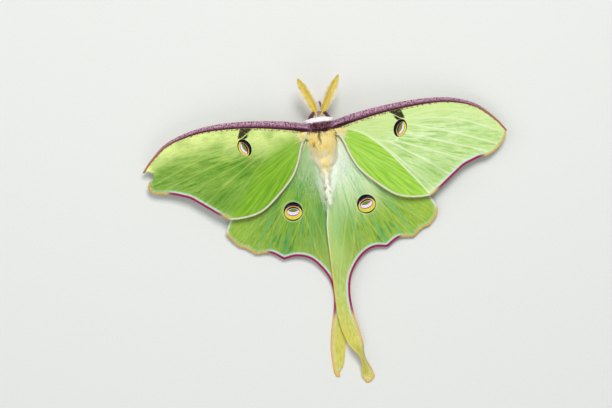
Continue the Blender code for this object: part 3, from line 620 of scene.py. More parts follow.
def forewing_tints(base, look, edges, fanned, placed, grains):
    """Paler front and tip, a deeper green over the hindwing with a pale seam, both painted light shining
    through the two wings, and the pale rear hem.
    """
    spread, outer, inner = edges
    _, radius, _ = fanned
    lap, x, y = placed
    streak, fine, patch = grains
    paler = x.smooth(24, 52) * 0.12 + spread.smooth(6.5, 1.6) * 0.88
    paler = paler * (patch.smooth(0.25, 0.6) * 0.6 + 0.4) * (1 - fine.smooth(0.48, 0.32) * 0.5)
    soft = look["lap_edge"]
    return base.under(
        (paler, look["outer"]),
        (y.smooth(-12, -17) * outer.smooth(0.5, 3) * 0.35, look["deep"]),
        # Painted backlight: a deeper green where light shines through both wings, and the hindwing's edge
        # showing through as a pale seam
        (lap.smooth(-soft, soft) * 0.85, streak.smooth(0.35, 0.7).mix(*look["backlit_lap"])),
        (abs(lap + 0.1).smooth(0.35, 0.1) * look["backlit_seam"] * radius.smooth(4, 9), look["vein"]),
        (inner.smooth(0.66, 0.42) * 0.85, (236, 230, 222)),
        (inner.smooth(0.24, 0.1) * 0.8, (196, 178, 106)))


def hindwing_tints(base, look, edges, fanned, placed, grains):
    """Pale root, on the right wing spread wide as a painted sunlit patch, teal streaks, yellower outer half
    and tail, and the pale hem of the inner edge.
    """
    spread, outer, inner = edges
    angle, radius, _ = fanned
    _, x, y = placed
    streak, fine, _ = grains
    # Pale root; on the right wing it reaches far out as painted light, the sunlit side of a shadow's edge
    near_body_and_sunlit = radius.smooth(*look["root_and_sunlit_reach"]) * (1 - streak.smooth(0.5, 0.3) * 0.6)
    teal = (angle * 24 + 7).joined(radius * 0.05).noise(1, 4, 0.65)
    teal = teal.smooth(0.5, 0.62) * radius.smooth(6, 14) * radius.smooth(54, 38)
    blotch = streak.smooth(0.52, 0.64) * outer.smooth(8, 3) * outer.smooth(1.2, 2.2)
    outward = abs(x).smooth(14, 26) * y.smooth(-42, -34) * (0.4 + 0.6 * fine.smooth(0.35, 0.6))
    inward = inner.smooth(7, 1.5) * y.smooth(-18, -26) * y.smooth(-46, -36)
    tail = y.smooth(-33, -50) * (1 - abs(x).smooth(6, 12))
    mottle = fine.smooth(0.3, 0.7)
    hem = y.smooth(-26, -44).mix((234, 236, 214), (226, 204, 104))
    return base.under(
        (near_body_and_sunlit * 0.85, look["root"]),
        (teal * fine.smooth(0.3, 0.55) * 0.75, look["teal"]),
        (blotch * 0.5, (58, 122, 62)),
        (outward * 0.55, (180, 206, 80)),
        (y.smooth(-28, -36) * abs(x).smooth(14, 6) * 0.35, (180, 196, 98)),
        (inward * look["inner_share"], (190, 218, 138)),
        (tail * 0.6, mottle.mix((184, 198, 98), (220, 224, 150))),
        (y.smooth(-48, -62) * 0.85, mottle.mix((194, 186, 70), (218, 210, 112))),
        (inner.smooth(0.55, 0.25) * y.smooth(-14, -24) * 0.9, hem),
        (spread.smooth(0.8, 0.2) * 0.8, (238, 238, 226)))


def outer_hem(base, outer, maroon, fine):
    """Bluish line, hem and fringe along the outer edge, maroon in places and else ochre."""
    bluish = outer.smooth(1.5, 0.9) * (0.3 + 0.7 * maroon) * (fine.smooth(0.3, 0.6) * 0.4 + 0.5)
    stripe = maroon.smooth(0.1, 0.7).mix((232, 172, 76), (158, 32, 90))
    fringe = maroon.smooth(0.2, 0.9).mix((238, 190, 104), (186, 66, 104))
    return base.under(
        (bluish, (200, 228, 216)),
        (outer.smooth(0.82, 0.55) * (0.6 + 0.4 * maroon), stripe),
        (outer.smooth(0.3, 0.14) * 0.7, fringe))


def wing_finish(kind, side):
    """Scaled membrane: streaks that fan from the root, pale veins, coloured margins and an eyespot."""
    look = WING_LOOKS[f"{kind}_{side}"]
    finish = Finish(f"{kind}_{side}_scales", 0.65, 0.12)
    edges, fanned, spot, placed = (finish.read(name).split() for name in ("edges", "fan", "spot", "lap"))
    spread, outer, _ = edges
    angle, radius, vein = fanned
    u, v, maroon = spot
    _, x, y = placed

    def fan(often, reach, detail=4, roughness=0.5):
        """Noise drawn out along lines from the wing's root."""
        return (angle * often).joined(radius * reach).noise(1, detail, roughness)

    flat = x.joined(y)
    streak, fine = fan(34, 0.11, 4, 0.6), fan(120, 0.45, 4, 0.7)
    grains = (streak, fine, flat.noise(0.16, 2))
    veins = (1 - vein.smooth(0.1, 0.36)) * (radius.smooth(5, 14) * look["vein_share"])
    base = streaked(look, fan, *grains).under((veins, look["vein"]))
    tints = forewing_tints if kind == "forewing" else hindwing_tints
    base = outer_hem(tints(base, look, edges, fanned, placed, grains), outer, maroon, fine)
    if kind == "forewing":
        spot_x, spot_y, _ = EYESPOTS[kind][side]
        base = costal_band(base, spread, x)
        base = fork(base, x - spot_x, y - spot_y, flat.noise(2.2), spread.smooth(0.97, 1.05))
    base = eyespot(kind, base, u, v, fine)
    finish.colour(base.scaled((flat.noise(6, 2).smooth(0.3, 0.7) - 0.5) * 0.14 + 1))
    scales = fan(260, 9, 2)
    finish.bump(scales * 0.5 + fine * 0.8 + streak * 0.8, 0.00012)
    return finish


def eyespot(kind, base, u, v, fine):
    """Rings about a clear window: black crescent, yellow ring, maroon line, white lens and green slit."""

    def oval(across, back, half_across, half_back, roundness):
        a, b = (u - across) / half_across, (v - back) / half_back
        if kind == "forewing":
            return abs(a) ** roundness + b * b
        return a * a + abs(b) if roundness == 1 else (a * a + b * b) ** 0.5

    body, ring, line, lens, slit = (oval(*row) for row in OVALS[kind])
    # The crescent faces forward on the hindwing and towards the body on the forewing
    ahead = v - 0.3 if kind == "hindwing" else v * 0.2 - u
    mottle = fine.smooth(0.3, 0.7)
    bloom = ring.smooth(1.3, 1.12) * u.joined(v).noise(2.6, 2).smooth(0.45, 0.6) * ahead.smooth(0.2, 1)
    dark = ahead.smooth(-0.6, 0.3).mix((50, 48, 18), (12, 10, 16)).under((bloom, (74, 84, 140)))
    yellow = mottle.mix((206, 196, 48), (232, 222, 96)).under((ahead.smooth(0.2, 1.2), (230, 160, 34)))
    return base.under(
        (body.smooth(1.25, 1.04) * 0.3, (228, 234, 176)),
        (body.smooth(1.02, 0.97), dark),
        (ring.smooth(1.02, 0.97), yellow),
        (line.smooth(1.03, 0.96), ahead.smooth(-0.5, 0.5).mix((176, 92, 130), (88, 12, 36))),
        (lens.smooth(1.05, 0.94), mottle.mix((226, 186, 214), (250, 242, 248))),
        (slit.smooth(1.1, 0.9), mottle.mix((78, 118, 40), (112, 160, 62))))


def fork(base, a, b, grain, on_blade):
    """The dark wedge from the costa to the eyespot's outer side, and the prong to its crescent."""
    a = a + (grain - 0.5) * 0.9
    below = b - 2.3 - (1.3 - a) * 0.64
    outer_side = 1.8 - a - (b - 2.3) * 0.35 + (grain - 0.5) * 1.6
    wedge = below.smooth(-0.08, 0.12) * outer_side.smooth(-0.15, 0.2) * (a + 3).smooth(-0.4, 0.6)
    wedge = wedge * (b - 2.75).smooth(-0.25, 0.25)
    prong = abs(below + 0.62).smooth(0.5, 0.34) * (a + 1.7).smooth(-0.2, 0.7) * (1 - a).smooth(-0.1, 0.2)
    dark = (grain.smooth(0.5, 0.62) * wedge).mix((14, 12, 12), (120, 100, 58))
    return base.under((wedge.math("MAXIMUM", wedge, prong) * on_blade * 0.97, dark))


def costal_band(base, spread, x):
    """Purple rod frosted with pink along its front, and a pale dashed line below it whose dark dashes are
    partly painted shadow of the rod.
    """
    frost = (x * 2.2).joined(spread * 4).noise(1, 4, 0.75)
    dashes = (x * 1.5).joined(spread * 3).noise(1, 4, 0.7)
    purple = spread.smooth(0.95, 0.55).mix((62, 28, 42), (116, 62, 86)).under(
        (frost.smooth(0.42, 0.58) * spread.smooth(0.85, 0.3) * 0.85, (216, 178, 198)),
        (frost.smooth(0.44, 0.34) * 0.7, (84, 34, 58)),
        (x.smooth(40, 53), (170, 104, 84)))
    # The dark dashes are partly painted shadow cast by the rod
    line = dashes.smooth(0.5, 0.56).mix((222, 222, 140), (72, 66, 30))
    return base.under((spread.smooth(1.3, 1.14) * spread.smooth(0.98, 1.04) * 0.9, line),
                      (spread.smooth(1.03, 0.96), purple))


# Body skin

# Cores of the head, thorax and shoulders: centre and half sizes
CORES = [((0, 2.3, 5.15), (1.5, 1.45, 1.5)), ((0, -3, 6.4), (3.8, 4.3, 3.2)),
         ((0, -0.2, 7.1), (4.6, 1.15, 1.45)), ((-0.2, 0.9, 6.8), (4, 1.1, 1.6)),
         ((2.2, -1.2, 7), (2, 1.9, 1.5)), ((-2.2, -1.2, 7), (2, 1.9, 1.5)),
         ((0, -5.6, 5.75), (3.5, 5, 2.5))]
BODY_AXIS = [(3.8, 5.1), (2.3, 5.15), (0.5, 6.2), (-3, 6.4), (-6.6, 5.4), (-14, 3.9), (-20.9, 3)]
ABDOMEN = [(-4, 2.4), (-6.6, 2.45), (-10, 2.5), (-14, 2.2), (-18, 1.5), (-20.2, 0.9), (-20.9, 0.12)]
BODY_ENDS = (3.745, -20.88)
BODY_TIP_RADIUS = 0.02
BODY_RINGS = 190
BODY_SIDES = 96
# How sharply the cores meet
MEET = 8


def body_radius(y, turn):
    """How far the skin is from the body's axis, at a place along it and a turn from straight up."""
    axis = level(BODY_AXIS, y)
    total = np.zeros_like(turn)
    for (cx, cy, cz), (rx, ry, rz) in CORES:
        slice_size = np.sqrt(np.clip(1 - ((y - cy) / ry) ** 2, 0, 1))
        a, b = rx * slice_size + 1e-6, rz * slice_size + 1e-6
        ox, oz = -cx / a, (axis - cz) / b
        dx, dz = np.sin(turn) / a, np.cos(turn) / b
        qa, qb, qc = dx * dx + dz * dz, ox * dx + oz * dz, ox * ox + oz * oz - 1
        root = qb * qb - qa * qc
        far = np.where(root > 0, (-qb + np.sqrt(np.maximum(root, 0))) / qa, 0)
        total += np.maximum(far, 0) ** MEET
    behind = np.where(y < ABDOMEN[0][0], level(ABDOMEN, y), 0)
    segments = 1 + 0.03 * np.sin(y * 2.7)
    total += (behind * segments) ** MEET
    return total ** (1 / MEET)


def body_grid():
    """Points and normals of the skin over (ring, side), with the first and last rings drawn to a point."""
    share = np.linspace(0, 1, BODY_RINGS) ** 1.2
    front, back = BODY_ENDS
    y = front + (back - front) * (0.55 * share ** 1.5 + 0.45 * share)
    turn = np.linspace(0, FULL_TURN, BODY_SIDES, endpoint=False)
    yy, tt = np.meshgrid(y, turn, indexing="ij")
    radius = body_radius(yy, tt)
    radius[[0, -1]] = BODY_TIP_RADIUS
    points = columns(np.sin(tt) * radius, yy, level(BODY_AXIS, yy) + np.cos(tt) * radius)
    around = np.roll(points, -1, axis=1) - np.roll(points, 1, axis=1)
    return points, unit(np.cross(np.gradient(points, axis=0), around))


# Where the hair of the dark band parts, ahead and behind
BAND_PARTING = 0.05
# Partings in the thorax hair, painted dark as the shade in their gaps, and pale patches, as lines over the
# back
SHADED_PARTINGS = [[(-0.5, -1.9), (-0.6, -4.4)], [(-2.1, -3.6), (-2.1, -4.8)], [(3.5, -1.4), (3.6, -3.4)]]
PALE_PATCHES = [[(-1.9, -6.2), (-1.3, -6.4)], [(0.4, -5.6), (0.9, -5.8)]]


def marks_and_parting_shade(points):
    """The coat's pale patches and painted parting shade at points of the skin, from -1 for pale to 1 for
    dark.
    """
    flat, on_top = points[:, :2], fade(points[:, 2], 5, 6)
    dark = np.max([1 - fade(to_line(flat, np.array(p)), 0.08, 0.3) for p in SHADED_PARTINGS], axis=0)
    pale = np.max([1 - fade(to_line(flat, np.array(p)), 0.3, 0.9) for p in PALE_PATCHES], axis=0)
    return dark * on_top - pale * on_top


def tube_faces(rings, sides):
    """Triangles over rings of points, closed at both ends."""
    index = np.arange(rings * sides).reshape(rings, sides)
    onward = np.roll(index, -1, axis=1)
    first = columns(index[0, 0], index[0, 2:], index[0, 1:-1])
    last = columns(index[-1, 0], index[-1, 1:-1], index[-1, 2:])
    return np.vstack([columns(index[:-1], onward[1:], index[1:]).reshape(-1, 3),
                      columns(index[:-1], onward[:-1], onward[1:]).reshape(-1, 3), first, last])


def body_skin(points, finish):
    verts = points.reshape(-1, 3)
    faces = tube_faces(BODY_RINGS, BODY_SIDES)[:, ::-1]
    made = mesh_object("body_skin", verts, faces, finish, root=verts, hair=columns(0, 0.3, marks_and_parting_shade(verts)))
    settle(made, "thorax_coat", "thorax", "head", "abdomen")


# Coat

BLADE_SHARES = np.array([0, 0.38, 0.74, 1])
BLADE_WIDTHS = np.array([0.75, 1, 0.66, 0])
BLADE_THICKNESS = 0.16
SIDE_BEND = 0.09
MOST_TUFTS = 11500
# Size of a tuft's patch of the unwrap
PATCH = 0.003


def blade_template():
    """Faces of one tuft: three sides over three spans, the last drawn to the tip, and a closed foot."""
    faces = []
    for span in (0, 3):
        for j in range(3):
            a, b = span + j, span + (j + 1) % 3
            faces += [(a, b, b + 3), (a, b + 3, a + 3)]
    faces += [(6 + j, 6 + (j + 1) % 3, 9) for j in range(3)]
    spots = [(j / 2, share) for share in BLADE_SHARES[:-1] for j in range(3)] + [(0.5, 1)]
    patch = [[spots[k] for k in face] for face in faces] + [[(0, 0), (1, 0), (0, 1)]]
    return np.array(faces + [(2, 1, 0)]), np.array(patch)


BLADE_FACES, BLADE_PATCH = blade_template()


def tufts(name, finish, slot, rng, droop, sink, *blades):
    """Solid tapered blades rooted in the skin, as pieces of a size that can be handled.

    The blades are arrays of roots, outward ways, lies, lengths, widths, lifts and places in the unwrap.
    """
    parts = math.ceil(len(blades[0]) / MOST_TUFTS)
    order = rng.permutation(len(blades[0]))
    for part in range(parts):
        label = name if parts == 1 else f"{name}_{part + 1}"
        tuft_piece(label, finish, slot, rng, droop, sink, *(table[order[part::parts]] for table in blades))


def tuft_piece(name, finish, slot, rng, droop, sink, roots, outs, lies, lengths, widths, lifts, places):
    count = len(roots)
    lengths, widths, lifts = lengths[:, None], widths[:, None], lifts[:, None]
    outs = unit(outs)
    lies = unit(lies - outs * np.sum(lies * outs, axis=1, keepdims=True))
    across = np.cross(outs, lies)
    aim = lies * np.cos(lifts) + outs * np.sin(lifts)
    turns = rng.uniform(0, FULL_TURN, (count, 1))
    side_bend = rng.normal(0, SIDE_BEND, (count, 1))
    verts = []
    for share, width in zip(BLADE_SHARES, BLADE_WIDTHS):
        middle = roots - outs * sink * (1 - share) ** 2 + aim * (lengths * share)
        middle = middle - outs * (droop * lengths * np.sin(lifts) * share * share)
        middle = middle + across * (side_bend * lengths * share * share)
        if width == 0:
            verts.append(middle)
            continue
        for j in range(3):
            angle = turns * 0.3 + FULL_TURN * j / 3
            verts.append(middle + across * (np.cos(angle) * widths * width / 2)
                         + outs * (np.sin(angle) * widths * width * BLADE_THICKNESS))
    per = len(verts)
    verts = np.stack(verts, axis=1).reshape(-1, 3)
    faces = (BLADE_FACES[None] + (np.arange(count) * per)[:, None, None]).reshape(-1, 3)
    shares = np.concatenate([np.repeat(BLADE_SHARES[:-1], 3), BLADE_SHARES[-1:]])
    tone = np.repeat(rng.uniform(0, 1, count), per)
    made = mesh_object(name, verts, faces, finish, smooth=False, root=np.repeat(roots, per, axis=0),
                       hair=columns(np.tile(shares, count), tone, np.repeat(marks_and_parting_shade(roots), per)))
    layer = made.data.uv_layers.new(name="OFBake")
    spread = places[:, None, None, :] * (1 - PATCH) + BLADE_PATCH[None] * PATCH
    layer.data.foreach_set("uv", spread.astype(np.float32).ravel())
    settle(made, slot)


def scatter(grid, normals, density, rng):
    """Random places on a grid surface, thick where density says: points, normals and unwrap."""
    corner = grid[:-1, :-1]
    expect = np.linalg.norm(np.cross(grid[1:, :-1] - corner, grid[:-1, 1:] - corner), axis=-1) * density
    count = int(expect.sum())
    cells = rng.choice(expect.size, count, p=(expect / expect.sum()).ravel())
    row, column = np.unravel_index(cells, expect.shape)
    s, t = rng.uniform(0, 1, (2, count))

    def blend(table):
        """The table between the four corners of each place's cell."""
        return sum(table[row + i, column + j] * ((s if i else 1 - s) * (t if j else 1 - t))[:, None]
                   for j in (0, 1) for i in (0, 1))

    rings, sides = expect.shape
    return blend(grid), unit(blend(normals)), columns((column + t) / sides, (row + s) / rings)


def waves(points, size):
    """A smooth pattern of swirls, to comb neighbouring hairs into locks."""
    x, y, z = (points * 2 * np.pi / size).T
    return (np.sin(x * 1.3 + 2.1 * np.sin(y * 0.7)) + np.sin(y * 1.1 + 1.7 * np.sin(x * 0.9 + z))
            + 0.6 * np.sin(2.3 * x - 1.9 * y + z)) / 2.6


def coat_finish():
    """Markings of the body, worked out from where each hair is rooted, with painted shade in the partings,
    at the band's rear edge and at the hairs' roots.
    """
    finish = Finish("coat", 0.75, 0.08)
    flat = finish.read("root")
    x, y, z = flat.split()
    share, tone, mark_and_shade = finish.read("hair").split()
    broad, small = flat.noise(0.5, 2), flat.noise(1.9)
    place_y = y + (broad - 0.5) * 0.5
    aside = abs(x)

    cream = broad.smooth(0.3, 0.7).mix((246, 222, 124), (252, 240, 176)).under(
        (small.smooth(0.5, 0.68) * 0.45, (236, 204, 96)),
        (tone.smooth(0.75, 0.95) * 0.6, (254, 248, 214)),
        (aside.smooth(2.9, 4.4) * 0.6, (250, 242, 196)))
    white = small.smooth(0.35, 0.7).mix((240, 242, 222), (254, 254, 246)).under(
        (tone.smooth(0.6, 0.9) * 0.4, (234, 230, 190)))
    whiter = (place_y * 0.5 + 5.7 - aside + (tone - 0.5) * 1.8).smooth(0.9, -1.3)
    band = (tone.smooth(0.3, 0.75) * small.smooth(0.3, 0.6)).mix((84, 34, 48), (190, 142, 162)).under(
        (tone.smooth(0.25, 0.05), (60, 24, 34)),
        # Near-black at the band's rear edge: partly painted shadow beneath the band, partly dark hair tips
        (place_y.smooth(-0.1, -0.8) * 0.9, (50, 20, 26)))
    in_band = (place_y + (1 - aside.smooth(0.5, 3.5)) * 0.6).smooth(-1.35, -1.1) * y.smooth(0.9, 0.8)
    coat = whiter.mix(cream, white).under(
        (mark_and_shade.smooth(0, -0.8) * 0.85, (238, 234, 226)),
        # Painted shade in the partings of the thorax hair
        (mark_and_shade.smooth(0.1, 0.9) * 0.8, (96, 72, 26)),
        (in_band * z.smooth(4.4, 5.6), band),
        (y.smooth(0.6, 0.66), small.smooth(0.3, 0.7).mix((236, 232, 234), (250, 248, 247))),
        (y.smooth(2, 2.5) * z.smooth(5, 5.8) * 0.75, (140, 92, 44)))
    # Darker towards each hair's root: painted shade deep in the pelt, with a random tone from tuft to tuft
    finish.colour(coat.scaled(share.smooth(0, 0.9) * 0.08 + (tone - 0.5) * 0.16 + 0.98))
    return finish


def wing_hair_finish():
    """Cream by the thorax, then mint white over the hindwing's base, greener on the left as painted shade.
    """
    finish = Finish("wing_hair", 0.7, 0.08)
    flat = finish.read("root")
    x, y, _ = flat.split()
    share, tone, _ = finish.read("hair").split()
    small = flat.noise(1.6)
    mottle = small.smooth(0.35, 0.65)
    white = mottle.mix((226, 246, 212), (252, 255, 246)).under(
        # Greener on the left side: painted shade, like the left wings' colours
        (x.smooth(-1, -4.5) * 0.75, (146, 194, 96)),
        (y.smooth(-14, -21) * 0.7, (186, 216, 150)),
        (tone.smooth(0.7, 0.95) * 0.4, (236, 228, 236)))
    whiter = (y + (abs(x) - 4) * 0.6 + (small - 0.5) * 2 + (tone - 0.5) * 1.4).smooth(-1.6, -3.6)
    coat = whiter.mix(mottle.mix((246, 222, 132), (252, 242, 190)), white).under(
        (share.smooth(0.2, 1) * abs(x).smooth(4, 8) * 0.5, (196, 224, 140)))
    # Darker towards each hair's root: painted shade deep in the pelt, with a random tone from tuft to tuft
    finish.colour(coat.scaled(share.smooth(0, 0.9) * 0.1 + (tone - 0.5) * 0.12 + 0.95))
    return finish


def band_hair_finish():
    """The costal band's purple, frosted along its front and near-black at its rear, partly painted shadow
    beneath the band.
    """
    finish = Finish("band_hair", 0.7, 0.1)
    x, y, _ = finish.read("root").split()
    _, tone, _ = finish.read("hair").split()
    ahead = y - abs(x) * 0.12
    coat = (tone.smooth(0.3, 0.8) * ahead.smooth(-1, 0.3)).mix((78, 34, 56), (214, 170, 198))
    # Near-black towards the rear: partly painted shadow beneath the band, partly dark hair
    finish.colour(ahead.smooth(-0.2, -1).mix(coat, (58, 24, 38)))
    return finish


def body_coat(points, outs, finish, rng):
    """The pelt of the body: collar, band, long thorax hair, abdomen, sides and face."""
    grid, normals = (np.concatenate([table, table[:, :1]], axis=1) for table in (points, outs))
    x, y, z = np.moveaxis((grid[1:, 1:] + grid[:-1, :-1]) / 2, -1, 0)

    def zone(name, density, lie, length, width, lift, droop=0.3, comb=0.35):
        """Hair with so many tufts a square millimetre, whose lie and length follow from x and y."""
        roots, ways, unwrap = scatter(grid, normals, density, rng)
        at_x, at_y, _ = roots.T
        lies = columns(*lie(at_x, at_y)) + waves(roots, 2.4)[:, None] * (comb, 0, 0)
        lies = lies + rng.normal(0, 0.08, lies.shape)
        lengths = length(at_x, at_y) * (1 + rng.uniform(-0.25, 0.25, len(roots)))
        parting = np.exp(-((at_y - BAND_PARTING) / 0.2) ** 2) * (name == "band_hair")
        lifts = lift + 30 * parting + 8 * waves(roots + 3.7, 1.7) + rng.normal(0, 4, len(roots))
        aside = fade(np.abs(ways[:, 0]), 0.6, 1) * fade(-at_y, 2, 6)
        lifts = np.radians(lifts + aside * (14 + 12 * fade(-at_y, 9, 13)))
        widths = width * rng.uniform(0.75, 1.25, len(roots))
        slot = "thorax_coat" if name in ("thorax_hair", "band_hair", "side_hair") else "white_coat"
        tufts(name, finish, slot, rng, droop, 0.25, roots, ways, lies, lengths, widths, lifts, unwrap)

    def top(low=4.6):
        return fade(z, low, low + 0.8)

    band_rear = -1.2 - 0.6 * (1 - fade(np.abs(x), 0.5, 3.5))
    ahead = fade(y - band_rear, -0.1, 0.1)
    zone("collar_hair", 150 * top() * fade(y, 0.6, 0.68) * (1 - fade(y, 1.95, 2.25)),
         lambda x, y: (x * 0.14, 1, 0), lambda x, y: 0.95 - 0.04 * np.abs(x), 0.14, 12, 0.4, 0.15)
    zone("band_hair", 130 * top() * ahead * (1 - fade(y, 0.62, 0.7)),
         lambda x, y: (0.35 * np.tanh(x), 2 * fade(y, BAND_PARTING - 0.1, BAND_PARTING + 0.1) - 1, 0),
         lambda x, y: 0.7 - 0.3 * fade(y, 0.3, 0.6), 0.11, 11, 0.3, 0.3)
    zone("thorax_hair", 125 * top(3.7) * (1 - ahead) * fade(y, -11, -8),
         lambda x, y: (-0.13 * x * fade(-y, 3, 7) + 0.16 * x * fade(y, -5, -3), -1, 0),
         lambda x, y: 1.8 + 1.7 * fade(-y, 2.5, 6.5), 0.12, 13)
    zone("abdomen_hair", 86 * (1 - fade(y, -11, -8)),
         lambda x, y: (x * 0.05, -1, 0), lambda x, y: 2.6, 0.115, 12)
    zone("side_hair", 50 * (1 - top(3.9)) * fade(y, -7.4, -6.6) * (1 - fade(y, 0.6, 1.2)),
         lambda x, y: (0, -1, -0.3), lambda x, y: 1.3, 0.13, 12)
    zone("face_hair", 95 * fade(y, 0.9, 1.3) * (1 - top(4.2) * (1 - fade(y, 1.7, 2.2))),
         lambda x, y: (0, 0.5, -1), lambda x, y: 0.65, 0.09, 18)


# Hair over the wings: tufts, length at the body, share of it lost by the far end, lie, width and rise
WING_HAIR = {
    "forewing": (9000, 1.9, 0.45, (0.9, -0.55), 0.075, 7), "hindwing": (27000, 3, 0.5, (0.14, -1), 0.07, 7),
    "margin": (9500, 2.7, 0.2, (-0.42, -1), 0.085, 19), "band": (2600, 0.9, 0.3, (1, -0.05), 0.09, 7),
}
# How high over the membrane the band's hair is rooted, and how far inside the edge all of it is
BAND_HAIR_HEIGHT = 0.42
HAIR_MARGIN = 0.05
# Corner and size of the part of a flat wing that the hair's unwrap covers
UNWRAP_CORNER = (-3, -28)
UNWRAP_SIZE = (18, 30)


def wing_hair_spots(name, side, far, across):
    """Places on the flat wing from shares outward and across, and how likely a hair is kept there."""
    thinning = (1 - far) ** 1.7
    if name == "band":
        x = 2.9 + 7 * far
        return x, 0.6 + 0.16 * (x - 2.9) - 1.7 * across, thinning
    if name == "forewing":
        x = 2.6 + 5 * far
        return x, -1.2 - 0.06 * (x - 2.9) - 3.4 * across, thinning * (1 - across) ** 0.8
    edge_x, edge_y = np.array(INNER_MARGINS[side]).T
    if name == "hindwing":
        y = -2.6 - 20 * far
        return np.interp(y, edge_y, edge_x) + 0.15 + 8.5 * across, y, thinning * (1 - across) ** 1.7
    y = -4 - 20 * far
    return np.interp(y, edge_y, edge_x) + 0.1 + 1.2 * across ** 2, y, np.minimum(1, 1.5 * thinning ** 0.6)


def wing_hair(side, coat, band_coat, rng):
    """Hair that runs from the body out over the wings: cream and mint white, and the purple band's."""
    for name, (count, length, shrink, lie, width, rise) in WING_HAIR.items():
        kind = "forewing" if name in ("forewing", "band") else "hindwing"
        margins_of, _, lay = WINGS[kind]
        far, across = rng.uniform(0, 1, (2, count))
        x, y, likely = wing_hair_spots(name, side, far, across)
        kept = rng.uniform(0, 1, count) < likely
        flat, loop = columns(x, y), closed(margins_of(side))
        kept &= inside(flat, loop) & (to_edge(flat, loop) > HAIR_MARGIN)
        x, y, far = x[kept], y[kept], far[kept]
        roots = lay(side, x, y) + (0, 0, MEMBRANE / 2)
        roots[:, 2] += BAND_HAIR_HEIGHT * (name == "band")
        roots[:, 0] *= SIDES[side]
        lies = columns(lie[0] * SIDES[side], lie[1], 0) + waves(roots, 2)[:, None] * (0.25, 0, 0)
        lies = lies + rng.normal(0, 0.1, lies.shape)
        lengths = length * (1 - shrink * far) * rng.uniform(0.45, 1.2, len(x))
        lifts = np.radians(rise + 4 * waves(roots + 2, 1.5) + rng.normal(0, 3, len(x)))
        widths = width * rng.uniform(0.7, 1.3, len(x)) * (1 - 0.4 * far)
        unwrap = (columns(x, y) - UNWRAP_CORNER) / UNWRAP_SIZE
        slot = "white_coat" if kind == "hindwing" else "thorax_coat"
        tufts(f"{name}_{side}_hair", band_coat if name == "band" else coat, slot, rng, 0.6, 0.06,
              roots, np.tile(UP, (len(x), 1)), lies, lengths, widths, lifts, unwrap)


# Round parts


def loft(centres, radii, sides, part=0):
    """Rings round a course, closed at both ends: vertices, faces, and values of share along and part."""
    centres = np.asarray(centres, float)
    course = unit(np.gradient(centres, axis=0))
    across = unit(np.cross(course, UP))
    over = np.cross(across, course)
    turns = np.linspace(0, FULL_TURN, sides, endpoint=False)[None, :, None]
    ring = across[:, None] * np.cos(turns) + over[:, None] * np.sin(turns)
    verts = (centres[:, None] + ring * np.asarray(radii)[:, None, None]).reshape(-1, 3)
    shares = np.repeat(np.linspace(0, 1, len(centres)), sides)
    return verts, tube_faces(len(centres), sides), columns(shares, part, 0)


def gather(pieces):
    """Several lofts as one: vertices, faces and values."""
    verts, faces, values = zip(*pieces)
    shifts = np.cumsum([0] + [len(v) for v in verts])
    return np.vstack(verts), np.vstack([f + shift for f, shift in zip(faces, shifts)]), np.vstack(values)


def rooted(rods, depth, rng):
    """Random places on rods of course, radii and count: points, outward ways and the rods' own ways."""
    found = []
    for line, radii, count in rods:
        t = rng.uniform(0, len(line) - 1.001, count)
        low = t.astype(int)
        step = line[low + 1] - line[low]
        course = unit(step)
        across = unit(np.cross(course, UP))
        turn = rng.uniform(0, FULL_TURN, count)[:, None]
        out = across * np.cos(turn) + np.cross(across, course) * np.sin(turn)
        root = line[low] + step * (t - low)[:, None] + out * (radii[low] * depth)[:, None]
        found.append((root, out, course))
    return [np.vstack(table) for table in zip(*found)]


ANTENNAE = {
    "left": [(0.6, 2.8, 6.2), (1.4, 5.9, 7.4), (2.9, 9.6, 8.4), (4.95, 14, 8.9)],
    "right": [(0.6, 2.8, 6.2), (2.2, 5.9, 7.4), (4.1, 9.4, 8.4), (6.9, 13.7, 8.9)],
}
# Step along the course of an antenna or a palp
ROD_STEP = 0.12
ANTENNA_SEGMENTS = 40
# Radius of the shaft, what it loses of that by its end, how much its joints swell, and its thick foot
SHAFT_RADIUS = 0.19
SHAFT_TAPER = 0.13
JOINT_SWELL = 0.1
FOOT_SHARE = 0.05
FOOT_RADIUS = 0.3
TIP_RADIUS = 0.02
# Where on the shaft the branches start and the share of it that bears them, then one branch's form
BRANCH_START = 0.09
BRANCH_SPAN = 0.88
BRANCH_LENGTH = 2.9
BRANCH_RADIUS = 0.07
BRANCH_SWEEP = math.radians(50)
BRANCH_BEND = 0.14
# Rise in degrees of the outer and the inner rows of branches
OUTER_RISE, INNER_RISE = 8, 45
# How a segment's second pair departs from its first: more rise, less sweep and a share less length
TWIN_RISE, TWIN_SWEEP, TWIN_LOSS = 5, 0.1, 0.06
BRISTLE_LENGTH = 0.26
BRISTLE_SIZE = 0.02


